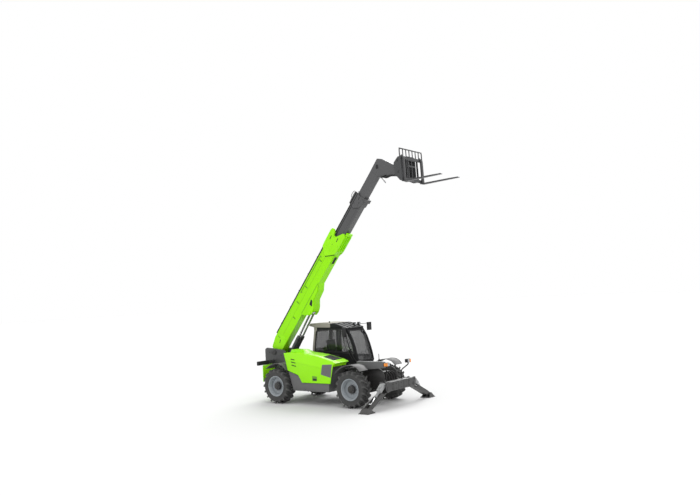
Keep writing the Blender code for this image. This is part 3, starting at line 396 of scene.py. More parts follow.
bolt_tree = bpy.data.node_groups.new("bolt_heads", "GeometryNodeTree")
bolt_sockets = {}
for label, kind in (("Points", "NodeSocketGeometry"), ("Radius", "NodeSocketFloat"),
                    ("Height", "NodeSocketFloat"), ("Finish", "NodeSocketMaterial")):
    socket = bolt_tree.interface.new_socket(label, in_out="INPUT", socket_type=kind)
    bolt_sockets[label] = socket.identifier
bolt_tree.interface.new_socket("Heads", in_out="OUTPUT", socket_type="NodeSocketGeometry")
bolt_nodes, bolt_links = bolt_tree.nodes, bolt_tree.links
bolt_in, bolt_out = bolt_nodes.new("NodeGroupInput"), bolt_nodes.new("NodeGroupOutput")
head = bolt_nodes.new("GeometryNodeMeshCone")
head.inputs["Vertices"].default_value = 6
crown = bolt_nodes.new("ShaderNodeMath")
crown.operation = "MULTIPLY"
crown.inputs[1].default_value = 0.86
facing = bolt_nodes.new("GeometryNodeInputNamedAttribute")
facing.data_type = "FLOAT_VECTOR"
facing.inputs["Name"].default_value = "facing"
align = bolt_nodes.new("FunctionNodeAlignRotationToVector")
align.axis = "Z"
spread = bolt_nodes.new("GeometryNodeInstanceOnPoints")
real = bolt_nodes.new("GeometryNodeRealizeInstances")
coat = bolt_nodes.new("GeometryNodeSetMaterial")
for start, end in (
    (bolt_in.outputs["Radius"], head.inputs["Radius Bottom"]), (bolt_in.outputs["Radius"], crown.inputs[0]),
    (crown.outputs[0], head.inputs["Radius Top"]), (bolt_in.outputs["Height"], head.inputs["Depth"]),
    (bolt_in.outputs["Points"], spread.inputs["Points"]), (head.outputs["Mesh"], spread.inputs["Instance"]),
    (facing.outputs["Attribute"], align.inputs["Vector"]), (align.outputs[0], spread.inputs["Rotation"]),
    (spread.outputs[0], real.inputs[0]), (real.outputs[0], coat.inputs["Geometry"]),
    (bolt_in.outputs["Finish"], coat.inputs["Material"]), (coat.outputs[0], bolt_out.inputs[0]),
):
    bolt_links.new(start, end)


def grown(mesh, tree, identifiers, values):
    """The mesh that a geometry tree grows from another, as plain faces."""
    carrier = bpy.data.objects.new("carrier", mesh)
    scene.collection.objects.link(carrier)
    modifier = carrier.modifiers.new("tree", "NODES")
    modifier.node_group = tree
    for label, value in values.items():
        modifier[identifiers[label]] = value
    result = settled(carrier)
    bpy.data.objects.remove(carrier, do_unlink=True)
    return result


bolt_zinc = painted("zinc_plated_steel", (0.30, 0.30, 0.31), 0.38, dust=0.05, Metallic=0.8)
bolt_black = painted("black_oxide_steel", (0.020, 0.020, 0.021), 0.40, dust=0.05)


def bolts(name, spots, body, radius=0.014, place=machine, shade=bolt_black):
    """Hexagon heads at (point, direction) spots."""
    mesh = bpy.data.meshes.new("spots")
    turn = place.to_3x3()
    mesh.from_pydata([place @ Vector(point) for point, _ in spots], [], [])
    layer = mesh.attributes.new("facing", "FLOAT_VECTOR", "POINT")
    for item, (_, direction) in zip(layer.data, spots):
        item.vector = (turn @ Vector(direction)).normalized()
    heads = grown(mesh, bolt_tree, bolt_sockets, {"Radius": radius, "Height": radius * 0.7, "Finish": shade})
    return fitted(name, heads, shade, body)


both_sides = (("left", 1), ("right", -1))
pivot_bolts = []
for _, side in both_sides:
    outer = side * tower_face_y
    for x, z in ((-3.55, 1.50), (-3.45, 1.10), (-3.55, 0.90), (-4.10, 1.60), (-4.18, 1.28), (-3.75, 1.00)):
        pivot_bolts.append(((x, outer, z), (0, side, 0)))
bolts("tower_bolts", pivot_bolts, "chassis", 0.018)
for name, side in both_sides:
    cap = [(0, 0.030), (0.050, 0.030), (0.056, 0.024), (0.078, 0.022), (0.082, 0.016), (0.082, 0), (0, 0)]
    pivot_cap = turned(cap, 32, Matrix.Translation((pivot_x, tower_face_y, pivot_z)))
    keeper = plate([(-3.99, 1.55), (-3.90, 1.52), (-3.90, 1.60), (-3.99, 1.63)], tower_face_y, 0.346,
                   "Y", Matrix())
    cap_mesh = joined([pivot_cap, keeper])
    cap_mesh = mirrored(cap_mesh, side)
    cap_mesh.transform(machine)
    fitted("boom_pin_cap_" + name, cap_mesh, frame_grey, "chassis", 0.002)

# ---- Tyres --------------------------------------------------------------------------------------------
# Off-road tyres of black rubber, worn grey by dust. The carcass is one moulding; bars in a chevron
# stand up from the tread, left and right in turn, and fade into the shoulders.
rubber = Finish("tyre_rubber", Specular_IOR_Level=0.35)
grain = rubber.noise(160.0, 3.0)
smear = rubber.noise(4.5, 5.0)
rubber_tone = rubber.blend(smear, (0.036, 0.036, 0.036), (0.060, 0.060, 0.059))
rubber.surface(rubber_tone, 0.72 + smear * 0.2, grain, 0.0009)
lug_rubber = Finish("lug_rubber", Specular_IOR_Level=0.35)
lug_smear = lug_rubber.noise(9.0, 5.0)
lug_rubber.surface(lug_rubber.blend(lug_smear, (0.050, 0.050, 0.050), (0.090, 0.090, 0.088)), 0.8,
                   lug_rubber.noise(160.0, 3.0), 0.0009)
carcass_half = [(0.3125, 0.1745), (0.340, 0.1745), (0.347, 0.184), (0.366, 0.188), (0.372, 0.1925),
                (0.384, 0.1925), (0.390, 0.190), (0.430, 0.1965), (0.470, 0.1985), (0.476, 0.1995),
                (0.484, 0.1985), (0.490, 0.1945), (0.503, 0.183), (0.514, 0.160), (0.520, 0.11),
                (0.522, 0.04)]
carcass = [(r, -y) for r, y in carcass_half] + [(r, y) for r, y in reversed(carcass_half)]
lug_line = [  # distance from the middle, centre and half width in degrees, foot and top radius
    (-0.015, -1.2, 1.9, 0.512, 0.566), (0.030, 1.6, 2.4, 0.512, 0.5695), (0.085, 5.8, 2.8, 0.510, 0.5695),
    (0.140, 9.2, 3.3, 0.500, 0.5695), (0.180, 11.2, 3.8, 0.480, 0.567), (0.1995, 12.0, 4.0, 0.462, 0.545),
]
tread_bars = 17
lug_shape = bmesh.new()
for mirror, offset in ((1, 0.0), (-1, 180.0 / tread_bars)):
    sections = []
    for y, middle, half, foot, top in lug_line:
        corners = []
        for angle, radius in ((-half, foot), (-half * 0.72, top), (half * 0.72, top), (half, foot)):
            turn = math.radians(middle + angle + offset)
            corners.append(lug_shape.verts.new((radius * math.cos(turn), mirror * y,
                                                radius * math.sin(turn))))
        sections.append(corners)
    for one, two in zip(sections, sections[1:]):
        for k in range(4):
            lug_shape.faces.new((one[k - 1], one[k], two[k], two[k - 1]))
    lug_shape.faces.new(sections[0])
    lug_shape.faces.new(sections[-1])
lug_pair = solid(lug_shape)

copy_tree = bpy.data.node_groups.new("repeated_copies", "GeometryNodeTree")
copy_sockets = {}
for label, kind in (("Shape", "NodeSocketGeometry"), ("Count", "NodeSocketInt"), ("Step", "NodeSocketVector"),
                    ("Turn", "NodeSocketVector"), ("Finish", "NodeSocketMaterial")):
    copy_sockets[label] = copy_tree.interface.new_socket(label, in_out="INPUT", socket_type=kind).identifier
copy_tree.interface.new_socket("Copies", in_out="OUTPUT", socket_type="NodeSocketGeometry")
copy_in, copy_out = copy_tree.nodes.new("NodeGroupInput"), copy_tree.nodes.new("NodeGroupOutput")
row = copy_tree.nodes.new("GeometryNodeMeshLine")
index = copy_tree.nodes.new("GeometryNodeInputIndex")
scaled = copy_tree.nodes.new("ShaderNodeVectorMath")
scaled.operation = "SCALE"
to_turn = copy_tree.nodes.new("FunctionNodeEulerToRotation")
laid = copy_tree.nodes.new("GeometryNodeInstanceOnPoints")
copy_real = copy_tree.nodes.new("GeometryNodeRealizeInstances")
copy_coat = copy_tree.nodes.new("GeometryNodeSetMaterial")
for start, end in (
    (copy_in.outputs["Count"], row.inputs["Count"]), (copy_in.outputs["Step"], row.inputs["Offset"]),
    (copy_in.outputs["Turn"], scaled.inputs[0]), (index.outputs[0], scaled.inputs["Scale"]),
    (scaled.outputs["Vector"], to_turn.inputs[0]), (to_turn.outputs[0], laid.inputs["Rotation"]),
    (row.outputs["Mesh"], laid.inputs["Points"]), (copy_in.outputs["Shape"], laid.inputs["Instance"]),
    (laid.outputs[0], copy_real.inputs[0]), (copy_real.outputs[0], copy_coat.inputs["Geometry"]),
    (copy_in.outputs["Finish"], copy_coat.inputs["Material"]), (copy_coat.outputs[0], copy_out.inputs[0]),
):
    copy_tree.links.new(start, end)


def repeated(mesh, count, shade, step=(0, 0, 0), turn=(0, 0, 0), place=Matrix()):
    """Copies of a shape in a row, each a step further and turned a little more."""
    values = {"Count": count, "Step": step, "Turn": turn, "Finish": shade}
    result = grown(mesh, copy_tree, copy_sockets, values)
    result.transform(place)
    return result


tread = repeated(lug_pair, tread_bars, lug_rubber.material, turn=(0, -2 * math.pi / tread_bars, 0))
tyre_shape = turned(carcass, 108, Matrix())
wheel_places = []
for end, axle_x in (("front", 0.0), ("rear", rear_axle_x)):
    for name, side in both_sides:
        centre = Matrix.Translation((axle_x, side * wheel_y, wheel_z))
        wheel_places.append((f"{end}_{name}", side, machine @ centre))
for name, side, place in wheel_places:
    mesh = mirrored(tyre_shape, side)
    mesh.transform(place)
    tyre = fitted("tyre_carcass_" + name, mesh, rubber.material, "wheel_" + name, 0.0, 28)
    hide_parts("tyre_" + name)
    bars = mirrored(tread, side)
    bars.transform(place)
    tread_piece = fitted("tyre_tread_" + name, bars, lug_rubber.material, "wheel_" + name, 0.0, 28)
    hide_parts("tyre_" + name)

# ---- Wheels -------------------------------------------------------------------------------------------
# Deep steel wheels rolled from plate and sprayed light blue-grey, with a round disc welded in. The hub
# in the middle is a dark planetary casing, bolted on with a ring of nuts.
wheel_paint = painted("wheel_blue_grey", (0.245, 0.275, 0.300), 0.36, dust=0.20)
rim_profile = [(0, 0.043), (0.150, 0.043), (0.176, 0.049), (0.215, 0.050), (0.240, 0.040), (0.262, 0.044),
               (0.268, 0.062), (0.270, 0.104), (0.276, 0.122), (0.293, 0.136), (0.297, 0.152), (0.298, 0.166),
               (0.306, 0.180), (0.318, 0.1865), (0.331, 0.187), (0.336, 0.183), (0.336, 0.176),
               (0.312, 0.1755), (0.312, -0.1755), (0.336, -0.176), (0.336, -0.184), (0.318, -0.187),
               (0.298, -0.170), (0.290, -0.10), (0.262, 0.0), (0.250, 0.025), (0, 0.025)]
hub_profile = [(0, 0.165), (0.040, 0.165), (0.046, 0.158), (0.082, 0.156), (0.094, 0.150), (0.098, 0.132),
               (0.118, 0.130), (0.122, 0.124), (0.122, 0.082), (0.130, 0.076), (0.130, 0.0435), (0, 0.0435)]
nut = joined([rod((0.158, 0.047, 0), (0.158, 0.065, 0), 0.0155, Matrix(), 6),
              rod((0.158, 0.06, 0), (0.158, 0.078, 0), 0.008, Matrix(), 12)])
cap_bolt = rod((0.108, 0.130, 0), (0.108, 0.137, 0), 0.008, Matrix(), 6)
for name, side, place in wheel_places:
    rim_mesh = mirrored(turned(rim_profile, 96, Matrix()), side)
    rim_mesh.transform(place)
    rim = fitted("wheel_disc_" + name, rim_mesh, wheel_paint, "wheel_" + name, 0.0, 40)
    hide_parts("rim_" + name)
    hub_mesh = mirrored(turned(hub_profile, 64, Matrix()), side)
    hub_mesh.transform(place)
    fitted("wheel_hub_" + name, hub_mesh, frame_grey, "wheel_" + name, 0.0, 30)
    nuts = joined([repeated(nut.copy(), 10, bolt_zinc, turn=(0, math.radians(36), 0)),
                   repeated(cap_bolt.copy(), 12, bolt_zinc, turn=(0, math.radians(30), 0))])
    nuts = mirrored(nuts, side)
    nuts.transform(place)
    fitted("wheel_nuts_" + name, nuts, bolt_zinc, "wheel_" + name)
    eased("knuckle_" + name, axle_black, 0.003)

# ---- Mudguards and counterweight ------------------------------------------------------------------------
# Arched guards pressed from black-grey plastic, with a rolled edge. The counterweight is a casting in
# the machine's bright green, with a rear light bar across it and a red lamp at each end.
def moulded(name, colour, roughness=0.55, dust=0.12):
    """Textured plastic: a fine pebble grain, patchy tone, and dust that thins out with height."""
    plastic = Finish(name, Specular_IOR_Level=0.2)
    pebble = plastic.node("ShaderNodeTexVoronoi", 0, None, {"Vector": plastic.place(), "Scale": 380.0})
    cloud = plastic.noise(2.6, 4.0)
    tone = plastic.blend(cloud, tuple(c * 0.88 for c in colour), tuple(c * 1.15 for c in colour))
    low_down = plastic.ramp(plastic.axis("Z"), 0.3, 2.2, 1.0, 0.2)
    dusty = low_down * (plastic.noise(24.0, 4.0) ** 2.0) * (dust * 3.0)
    tone = plastic.blend(dusty, tone, (0.23, 0.21, 0.185))
    return plastic.surface(tone, roughness + (cloud - 0.5) * 0.15, pebble, 0.0004)


guard_plastic = moulded("guard_plastic", (0.090, 0.090, 0.092))
trim_black = moulded("trim_black", (0.020, 0.020, 0.021), 0.5, 0.06)
lime = painted("lime_green_paint", (0.277, 0.745, 0.003), 0.36, 0.03, 0.00016, Coat_Weight=0.06,
               Coat_Roughness=0.15, Specular_IOR_Level=0.15)
for end in ("front", "rear"):
    for name, side in both_sides:
        eased(f"fender_{end}_{name}", guard_plastic, 0.003)
guard_inner_y, guard_outer_y = 0.745, 1.171
arches = {
    "front": [(-0.55, 1.06), (-0.47, 1.15), (-0.33, 1.24), (-0.14, 1.305), (0.09, 1.325), (0.28, 1.27),
              (0.41, 1.15)],
    "rear": [(-3.49, 1.14), (-3.36, 1.23), (-3.16, 1.30), (-2.95, 1.325), (-2.78, 1.27), (-2.66, 1.18),
             (-2.61, 1.12)],
}
for end, arch in arches.items():
    for name, side in both_sides:
        lips = [tube([(x, side * y, z - 0.008) for x, z in arch], 0.009)
                for y in (guard_inner_y, guard_outer_y)]
        ends = [tube([(x, side * guard_inner_y, z - 0.006), (x, side * guard_outer_y, z - 0.006)], 0.008,
                     smooth=1) for x, z in (arch[0], arch[-1])]
        fitted(f"guard_lip_{end}_{name}", joined(lips + ends), guard_plastic, "chassis")
eased("counterweight", lime, 0.012)


def lens(name, dull, bright, roughness, gloss=0.6, ridges=30.0):
    """Moulded plastic over a lamp, with fine ridges across it."""
    plastic = Finish(name, Specular_IOR_Level=gloss)
    wave = plastic.node("ShaderNodeTexWave", "Fac", None, {"Vector": plastic.place(), "Scale": ridges})
    return plastic.surface(plastic.blend(plastic.noise(60.0), dull, bright), roughness, wave, 0.0006)


lens_red = lens("lens_red", (0.45, 0.010, 0.008), (0.62, 0.02, 0.015), 0.22)
lens_amber = lens("lens_amber", (0.80, 0.22, 0.01), (0.95, 0.33, 0.02), 0.22)
lens_clear = lens("lens_clear", (0.28, 0.29, 0.31), (0.40, 0.41, 0.43), 0.12, 0.8, 45.0)
for name, side in both_sides:
    housing = plate([(-3.956, 1.222), (-3.864, 1.222), (-3.864, 1.358), (-3.956, 1.358)],
                    *on_side(side, 0.62, 1.125))
    fitted("rear_light_housing_" + name, housing, trim_black, "chassis", 0.008)
    red = block((-3.962, -3.950), on_side(side, 0.90, 1.10), (1.25, 1.33))
    fitted("tail_lamp_" + name, red, lens_red, "chassis", 0.003)
    side_amber = block((-3.962, -3.950), on_side(side, 0.76, 0.88), (1.25, 1.33))
    fitted("rear_indicator_" + name, side_amber, lens_amber, "chassis", 0.003)
hitch = [block((-4.285, -4.20), (-0.09, 0.09), (0.72, 0.76)),
         block((-4.285, -4.20), (-0.09, 0.09), (0.84, 0.88)),
         rod((-4.25, 0, 0.70), (-4.25, 0, 0.93), 0.018),
         tube([(-4.25, 0, 0.93), (-4.25, 0.03, 0.95), (-4.25, 0.05, 0.93)], 0.006)]
fitted("tow_hitch", joined(hitch), frame_grey, "chassis", 0.003)
bolts("counterweight_bolts", [((-4.201, y, z), (-1, 0, 0)) for y in (-0.42, 0.42) for z in (0.76, 1.10)],
      "chassis", 0.022)

# ---- Engine cover and skirt -----------------------------------------------------------------------------
# A pressed cover in green with a crease along its side, three louvres, a mesh panel on top, a grey vent
# and a square recess for the latch. The grey skirt below it is bolted to the frame.
cover_paint = Finish("cover_green_paint", Coat_Weight=0.10, Coat_Roughness=0.12, Specular_IOR_Level=0.2)
cover_cloud = cover_paint.noise(1.4, 3.0)
crease = cover_paint.axis("Z", (front_axle_x - 2.53, 0, 1.40), math.radians(8.2))
crease_fold = cover_paint.ramp(crease, -0.02, 0.02)
cover_tone = cover_paint.blend(cover_cloud, (0.280, 0.750, 0.0026), (0.310, 0.825, 0.004))
# Below the crease line the paint is darkened by 6% as painted shade under the fold; the fold itself is a
# bump.
painted_shade_below_crease = cover_paint.blend(0.06, cover_tone, (0.02, 0.05, 0.001))
cover_tone = cover_paint.blend(crease_fold, painted_shade_below_crease, cover_tone)
cover_paint.surface(cover_tone, 0.32 + (cover_cloud - 0.5) * 0.1,
                    crease_fold * 3.5 + cover_paint.noise(300.0, 1.0) * 0.05, 0.002)
lime_cover = cover_paint.material
eased("engine_hood", lime_cover, 0.014)
side_face = -1.11


def rounded(corners, radius, steps=5):
    """An outline with its corners rounded."""
    line = []
    for i, here in enumerate(corners):
        here = Vector(here)
        before, after = Vector(corners[i - 1]), Vector(corners[(i + 1) % len(corners)])
        cut = min(radius, (before - here).length * 0.45, (after - here).length * 0.45)
        start, end = here + (before - here).normalized() * cut, here + (after - here).normalized() * cut
        for k in range(steps + 1):
            t = k / steps
            line.append(tuple(start * (1 - t) ** 2 + here * 2 * t * (1 - t) + end * t * t))
    return line


def rim_of(outline, width, low, high, axis="Y", place=machine):
    """A flat frame of a given width, inside an outline."""
    centre = Vector((sum(p[0] for p in outline), sum(p[1] for p in outline))) / len(outline)
    inner = []
    count = len(outline)
    for i in range(count):
        ahead = Vector(outline[(i + 1) % count]) - Vector(outline[i - 1])
        normal = Vector((-ahead.y, ahead.x)).normalized()
        if normal.dot(centre - Vector(outline[i])) < 0:
            normal = -normal
        inner.append(tuple(Vector(outline[i]) + normal * width))
    shape = bmesh.new()
    loops = [[shape.verts.new(along_axis[axis](u, v, level)) for u, v in line]
             for line, level in ((outline, low), (outline, high), (inner, high), (inner, low))]
    for one, two in zip(loops, loops[1:] + loops[:1]):
        for i in range(count):
            shape.faces.new((one[i - 1], one[i], two[i], two[i - 1]))
    return solid(shape, place)


# Near-black sheets laid into slots, louvres and openings: painted shade where the inside of an opening falls
# dark.
painted_shade_sheet = Finish("painted_shade_sheet")
shade_sheet_tone = painted_shade_sheet.blend(painted_shade_sheet.noise(30.0), (0.006, 0.006, 0.007), (0.014, 0.014, 0.015))
painted_shade_sheet.surface(shade_sheet_tone, 0.8)
mesh_steel = Finish("woven_mesh_steel", Metallic=0.1)
weave = mesh_steel.node("ShaderNodeTexChecker", "Fac", None, {"Vector": mesh_steel.place(), "Scale": 62.0})
mesh_steel.surface(mesh_steel.blend(weave, (0.012, 0.012, 0.013), (0.060, 0.058, 0.066)), 0.5, weave, 0.002)
slots = [rounded([(-2.43, 1.490), (-2.25, 1.462), (-2.228, 1.418), (-2.415, 1.440)], 0.014),
         rounded([(-2.415, 1.398), (-2.215, 1.360), (-2.195, 1.316), (-2.40, 1.346)], 0.014),
         rounded([(-2.405, 1.300), (-2.195, 1.255), (-2.18, 1.210), (-2.39, 1.248)], 0.014)]
# The three louvre slots are flat near-black sheets on the cover's side, painted shade in the openings.
fitted("cover_louvre_shade", joined([plate(line, side_face - 0.0015, side_face + 0.001) for line in slots]),
       painted_shade_sheet.material, "hood")
fitted("cover_louvre_lips", joined([rim_of(line, 0.007, side_face - 0.005, side_face + 0.001)
                                    for line in slots]), lime_cover, "hood", 0.001)
top_turn = Matrix.Translation((-1.35, 0, 1.575)) @ Matrix.Rotation(math.atan2(0.15, 0.65), 4, "Y")
grille = rounded([(0.17, -0.93), (0.09, -0.50), (0.57, -0.46), (0.64, -0.98)], 0.035)
fitted("cover_mesh_panel", plate(grille, 0.0005, 0.003, "Z", machine @ top_turn), mesh_steel.material, "hood")
fitted("cover_mesh_frame", rim_of(grille, 0.016, 0.0, 0.006, "Z", machine @ top_turn), trim_black,
       "hood", 0.002)
wires = [repeated(rod((0, 0.0, 0), (0, 0.43, 0), 0.0022, Matrix(), 6), 22, trim_black, (0.0205, 0, 0),
                  place=machine @ top_turn @ Matrix.Translation((0.155, -0.92, 0.004)))]
fitted("cover_mesh_wires", joined(wires), trim_black, "hood")
vent_grey = painted("vent_grey", (0.105, 0.106, 0.112), 0.45)
vent = rounded([(-1.10, 1.305), (-0.70, 1.325), (-0.775, 0.905), (-1.17, 0.995)], 0.02)
fitted("cover_vent_panel", plate(vent, side_face - 0.004, side_face + 0.001), vent_grey, "hood", 0.002)
slats = []
for s in range(5):
    back_x, front_x = -1.135 + s * 0.008, -0.80 + s * 0.010
    back_rise, front_rise = s * 0.046, s * 0.058
    slat = rounded([(back_x, 1.04 + back_rise), (front_x, 0.975 + front_rise),
                    (front_x, 0.985 + front_rise), (back_x, 1.052 + back_rise)], 0.003)
    slats.append(plate(slat, side_face - 0.009, side_face - 0.003))
fitted("cover_vent_slats", joined(slats), vent_grey, "hood", 0.001)
latch = rounded([(-1.54, 0.955), (-1.315, 0.940), (-1.325, 0.775), (-1.535, 0.775)], 0.02)
# The flat plate inside the latch recess is a darker green: painted shade in the recess.
painted_recess_shadow = painted("recess_shadow_green", (0.10, 0.27, 0.002), 0.5)
fitted("latch_recess", plate(latch, side_face - 0.0015, side_face + 0.001), painted_recess_shadow, "hood")
fitted("latch_recess_lip", rim_of(latch, 0.012, side_face - 0.006, side_face + 0.001), lime_cover,
       "hood", 0.002)
latch_parts = [plate(rounded([(-1.51, 0.865), (-1.345, 0.855), (-1.35, 0.80), (-1.51, 0.80)], 0.015),
                     side_face - 0.010, side_face),
               rod((-1.43, side_face - 0.018, 0.83), (-1.43, side_face, 0.83), 0.018)]
fitted("cover_latch", joined(latch_parts), trim_black, "hood", 0.002)
lip_line = [(x, -1.1105, z) for x, z in (
    (-2.70, 1.655), (-2.56, 1.10), (-2.12, 0.962), (-1.96, 0.724), (-0.81, 0.724), (-0.665, 1.31))]
seals = [tube([a, b], 0.006, smooth=1) for a, b in zip(lip_line, lip_line[1:])]
fitted("cover_edge_roll", joined(seals), lime_cover, "hood")
bolts("skirt_bolts", [((x, -1.090, 0.50), (0, -1, 0)) for x in (-2.25, -1.85, -1.45, -1.05)],
      "chassis", 0.012)
skirt_lip = tube([(-2.36, -1.088, 0.456), (-0.875, -1.088, 0.456)], 0.009, smooth=1)
fitted("skirt_lower_lip", joined([skirt_lip]), skirt_grey, "chassis")
engine_paint = painted("engine_grey_paint", (0.055, 0.056, 0.058), 0.5)
eased("engine_block", engine_paint, 0.008)
ribs = repeated(block((0, 0.02), (-0.94, -0.51), (0.50, 1.16), Matrix()), 12, engine_paint, (0.068, 0, 0),
                place=machine @ Matrix.Translation((-1.90, 0, 0)))
fitted("engine_ribs", ribs, engine_paint, "chassis", 0.003)

# ---- Side tank and nose cover -----------------------------------------------------------------------------
# The fuel tank under the cab is folded steel with two steps let into it. A long box on the right rail
# covers the valves; its top and sides are ribbed grey plastic.
eased("left_tank", tower_grey, 0.010)
treads = [repeated(block((0, 0.012), (0.965, 1.115), (z, z + 0.004), Matrix()), 16, bolt_zinc, (0.034, 0, 0),
                   place=machine @ Matrix.Translation((-1.74, 0, 0))) for z in (0.5205, 0.6705)]
fitted("step_treads", joined(treads), bolt_zinc, "chassis")
filler = joined([rod((-2.10, 0.90, 0.789), (-2.10, 0.90, 0.80), 0.06),
                 rod((-2.20, 1.118, 0.66), (-2.20, 1.150, 0.66), 0.05)])
fitted("filler_caps", filler, trim_black, "chassis", 0.002)
eased("valve_cover", skirt_grey, 0.045)
rail_ribs = repeated(block((0, 0.010), (-0.480, -0.385), (1.3685, 1.374), Matrix()), 12, skirt_grey,
                     (0.08, 0, 0), place=machine @ Matrix.Translation((-0.12, 0, 0)))
fitted("valve_cover_ribs", rail_ribs, skirt_grey, "chassis", 0.002)
nose_hoses = []
for k in range(4):
    y = -0.20 + k * 0.13
    nose_hoses.append(tube([(0.62, y, 1.02), (0.72, y + 0.01, 0.99), (0.80, y + 0.02, 0.90), (0.83, y, 0.80),
                            (0.86, y - 0.01, 0.775)], 0.013))
fitted("nose_hoses", joined(nose_hoses), trim_black, "chassis")
drive_cover = plate([(-0.64, 0.74), (-0.66, 1.29), (-0.20, 1.20), (0.30, 1.17), (0.30, 0.78)],
                    -0.362, -0.352)
fitted("inner_guard_panel", joined([drive_cover]), trim_black, "chassis", 0.003)

# ---- Cab shell, roof and glass ----------------------------------------------------------------------------
# A welded tube cab painted black, with a beige moulded shell over its rear and roof. The roof's front
# half is a smoked pane under bars. The panes are tinted and sit in black rubber gaskets.
def two_tone(name, dark, pale, edge_x, low_z, slope):
    """Black paint that gives way to pale moulded plastic behind a slanting line."""
    shell = Finish(name, Specular_IOR_Level=0.05)
    ahead = shell.axis("X", (front_axle_x + edge_x, 0, 0)) + shell.axis("Z", (0, 0, low_z)) * slope
    above = shell.axis("Z") > low_z
    behind = (ahead < 0.0) * above
    cloud = shell.noise(2.2, 4.0)
    pale_tone = shell.blend(cloud, tuple(c * 0.90 for c in pale), tuple(c * 1.08 for c in pale))
    dark_tone = shell.blend(cloud, tuple(c * 0.8 for c in dark), tuple(c * 1.2 for c in dark))
    return shell.surface(shell.blend(behind, dark_tone, pale_tone), 0.42 + (cloud - 0.5) * 0.16,
                         shell.noise(360.0, 1.0), 0.0003)


shell_beige = (0.300, 0.278, 0.248)
cab_paint = two_tone("cab_black_and_beige", (0.016, 0.016, 0.017), shell_beige, -2.49, 1.60, -0.156)
roof_paint = two_tone("roof_beige_and_smoke", (0.021, 0.0215, 0.023), shell_beige, -1.78, 2.0, 0.0)
eased("cab_body", cab_paint, 0.008)
eased("cab_roof", roof_paint, 0.012)
wind_curve = [(-0.690, 1.27), (-0.740, 1.52), (-0.820, 1.80), (-0.930, 2.08), (-1.090, 2.34)]


def wind_x(z):
    """How far forward the windscreen's curve is at a height."""
    for (x0, z0), (x1, z1) in zip(wind_curve, wind_curve[1:]):
        if z <= z1:
            break
    return x0 + (x1 - x0) * (z - z0) / (z1 - z0)


def down_wind(back, low, high, count=9):
    return [(wind_x(low + (high - low) * k / (count - 1)) - back, low + (high - low) * k / (count - 1))
            for k in range(count)]


rubber_seal = Finish("rubber_seal", Specular_IOR_Level=0.3)
rubber_seal.surface(rubber_seal.blend(rubber_seal.noise(18.0), (0.008, 0.008, 0.008), (0.018, 0.018, 0.018)),
                    0.6, rubber_seal.noise(500.0), 0.0003)
door_glass = rounded([(-2.075, 1.42), *down_wind(0.145, 1.42, 2.255), (-2.075, 2.255)], 0.04)
quarter = rounded([(-2.49, 1.68), (-2.25, 1.68), (-2.25, 2.325), (-2.40, 2.325)], 0.04)
grown_right = rounded([(-2.53, 1.585), *down_wind(0.052, 1.545, 2.348), (-2.27, 2.348), (-2.425, 2.28)], 0.07)
seals = [
    rim_of(grown_right, 0.034, 0.230, 0.236),
    rim_of(quarter, -0.02, 1.162, 1.170),
]
fitted("side_window_seals", joined(seals), rubber_seal.material, "chassis", 0.0015)
screen_right_y, screen_left_y = 0.296, 1.104
screen_low_z, screen_high_z = 1.30, 2.27
screen_seal = []
for y in (screen_right_y, screen_left_y):
    edge = [(x + 0.001, y, z) for x, z in down_wind(0.0, screen_low_z, screen_high_z)]
    screen_seal.append(tube(edge, 0.009))
for z in (screen_low_z, screen_high_z):
    edge = [(wind_x(z) + 0.001, y, z) for y in (screen_right_y, screen_left_y)]
    screen_seal.append(tube(edge, 0.009, smooth=1))
fitted("windscreen_seal", joined(screen_seal), rubber_seal.material, "chassis")


def tinted(name, tint, alpha):
    """Tinted safety glass: thin, glossy, with a trace of dust."""
    pane = Finish(name, Specular_IOR_Level=0.6)
    film = pane.noise(7.0, 4.0)
    pane.set(pane.shader, {"Alpha": film * 0.05 + alpha})
    return pane.surface(pane.blend(film, tint, tuple(c * 1.5 for c in tint)), film * 0.05 + 0.03)


screen_glass = tinted("screen_glass", (0.022, 0.023, 0.024), 0.36)
side_glass = tinted("side_glass", (0.014, 0.015, 0.015), 0.41)
for node, shade in (("windscreen", screen_glass), ("right_window", side_glass), ("rear_window", side_glass),
                    ("rear_quarter_window", side_glass), ("door_window", side_glass)):
    pane = frame["nodes"][node]
    pane.data.materials.clear()
    pane.data.materials.append(shade)
roof_line = [(-1.085, 2.368), (-1.17, 2.396), (-1.37, 2.456), (-1.57, 2.514), (-1.70, 2.532)]
roof_bars = [tube([(x, y, z) for x, z in roof_line], 0.010) for y in (0.245, 0.475, 0.70, 0.925, 1.155)]
roof_bars.append(tube([(-1.70, 0.24, 2.530), (-1.70, 1.16, 2.530)], 0.012, smooth=1))
roof_bars.append(tube([(-1.09, 0.24, 2.366), (-1.09, 1.16, 2.366)], 0.014, smooth=1))
fitted("roof_guard_bars", joined(roof_bars), trim_black, "chassis")
roof_trim = [rod((-1.95, 0.42, 2.545), (-1.95, 0.42, 2.590), 0.018),
             rod((-1.95, 0.42, 2.585), (-1.95, 0.42, 2.600), 0.026)]
fitted("beacon_socket", joined(roof_trim), trim_black, "chassis", 0.002)
wiper = [rod((wind_x(1.36) - 0.01, 0.66, 1.36), (wind_x(1.36) + 0.035, 0.66, 1.365), 0.020),
         tube([(wind_x(1.36) + 0.028, 0.66, 1.365), (wind_x(1.50) + 0.026, 0.78, 1.50),
               (wind_x(1.66) + 0.022, 0.90, 1.66)], 0.007, smooth=3),
         tube([(wind_x(1.42) + 0.012, 0.93, 1.42), (wind_x(1.66) + 0.012, 0.90, 1.66),
               (wind_x(1.88) + 0.012, 0.875, 1.88)], 0.007, smooth=3)]
fitted("screen_wiper", joined(wiper), trim_black, "chassis")
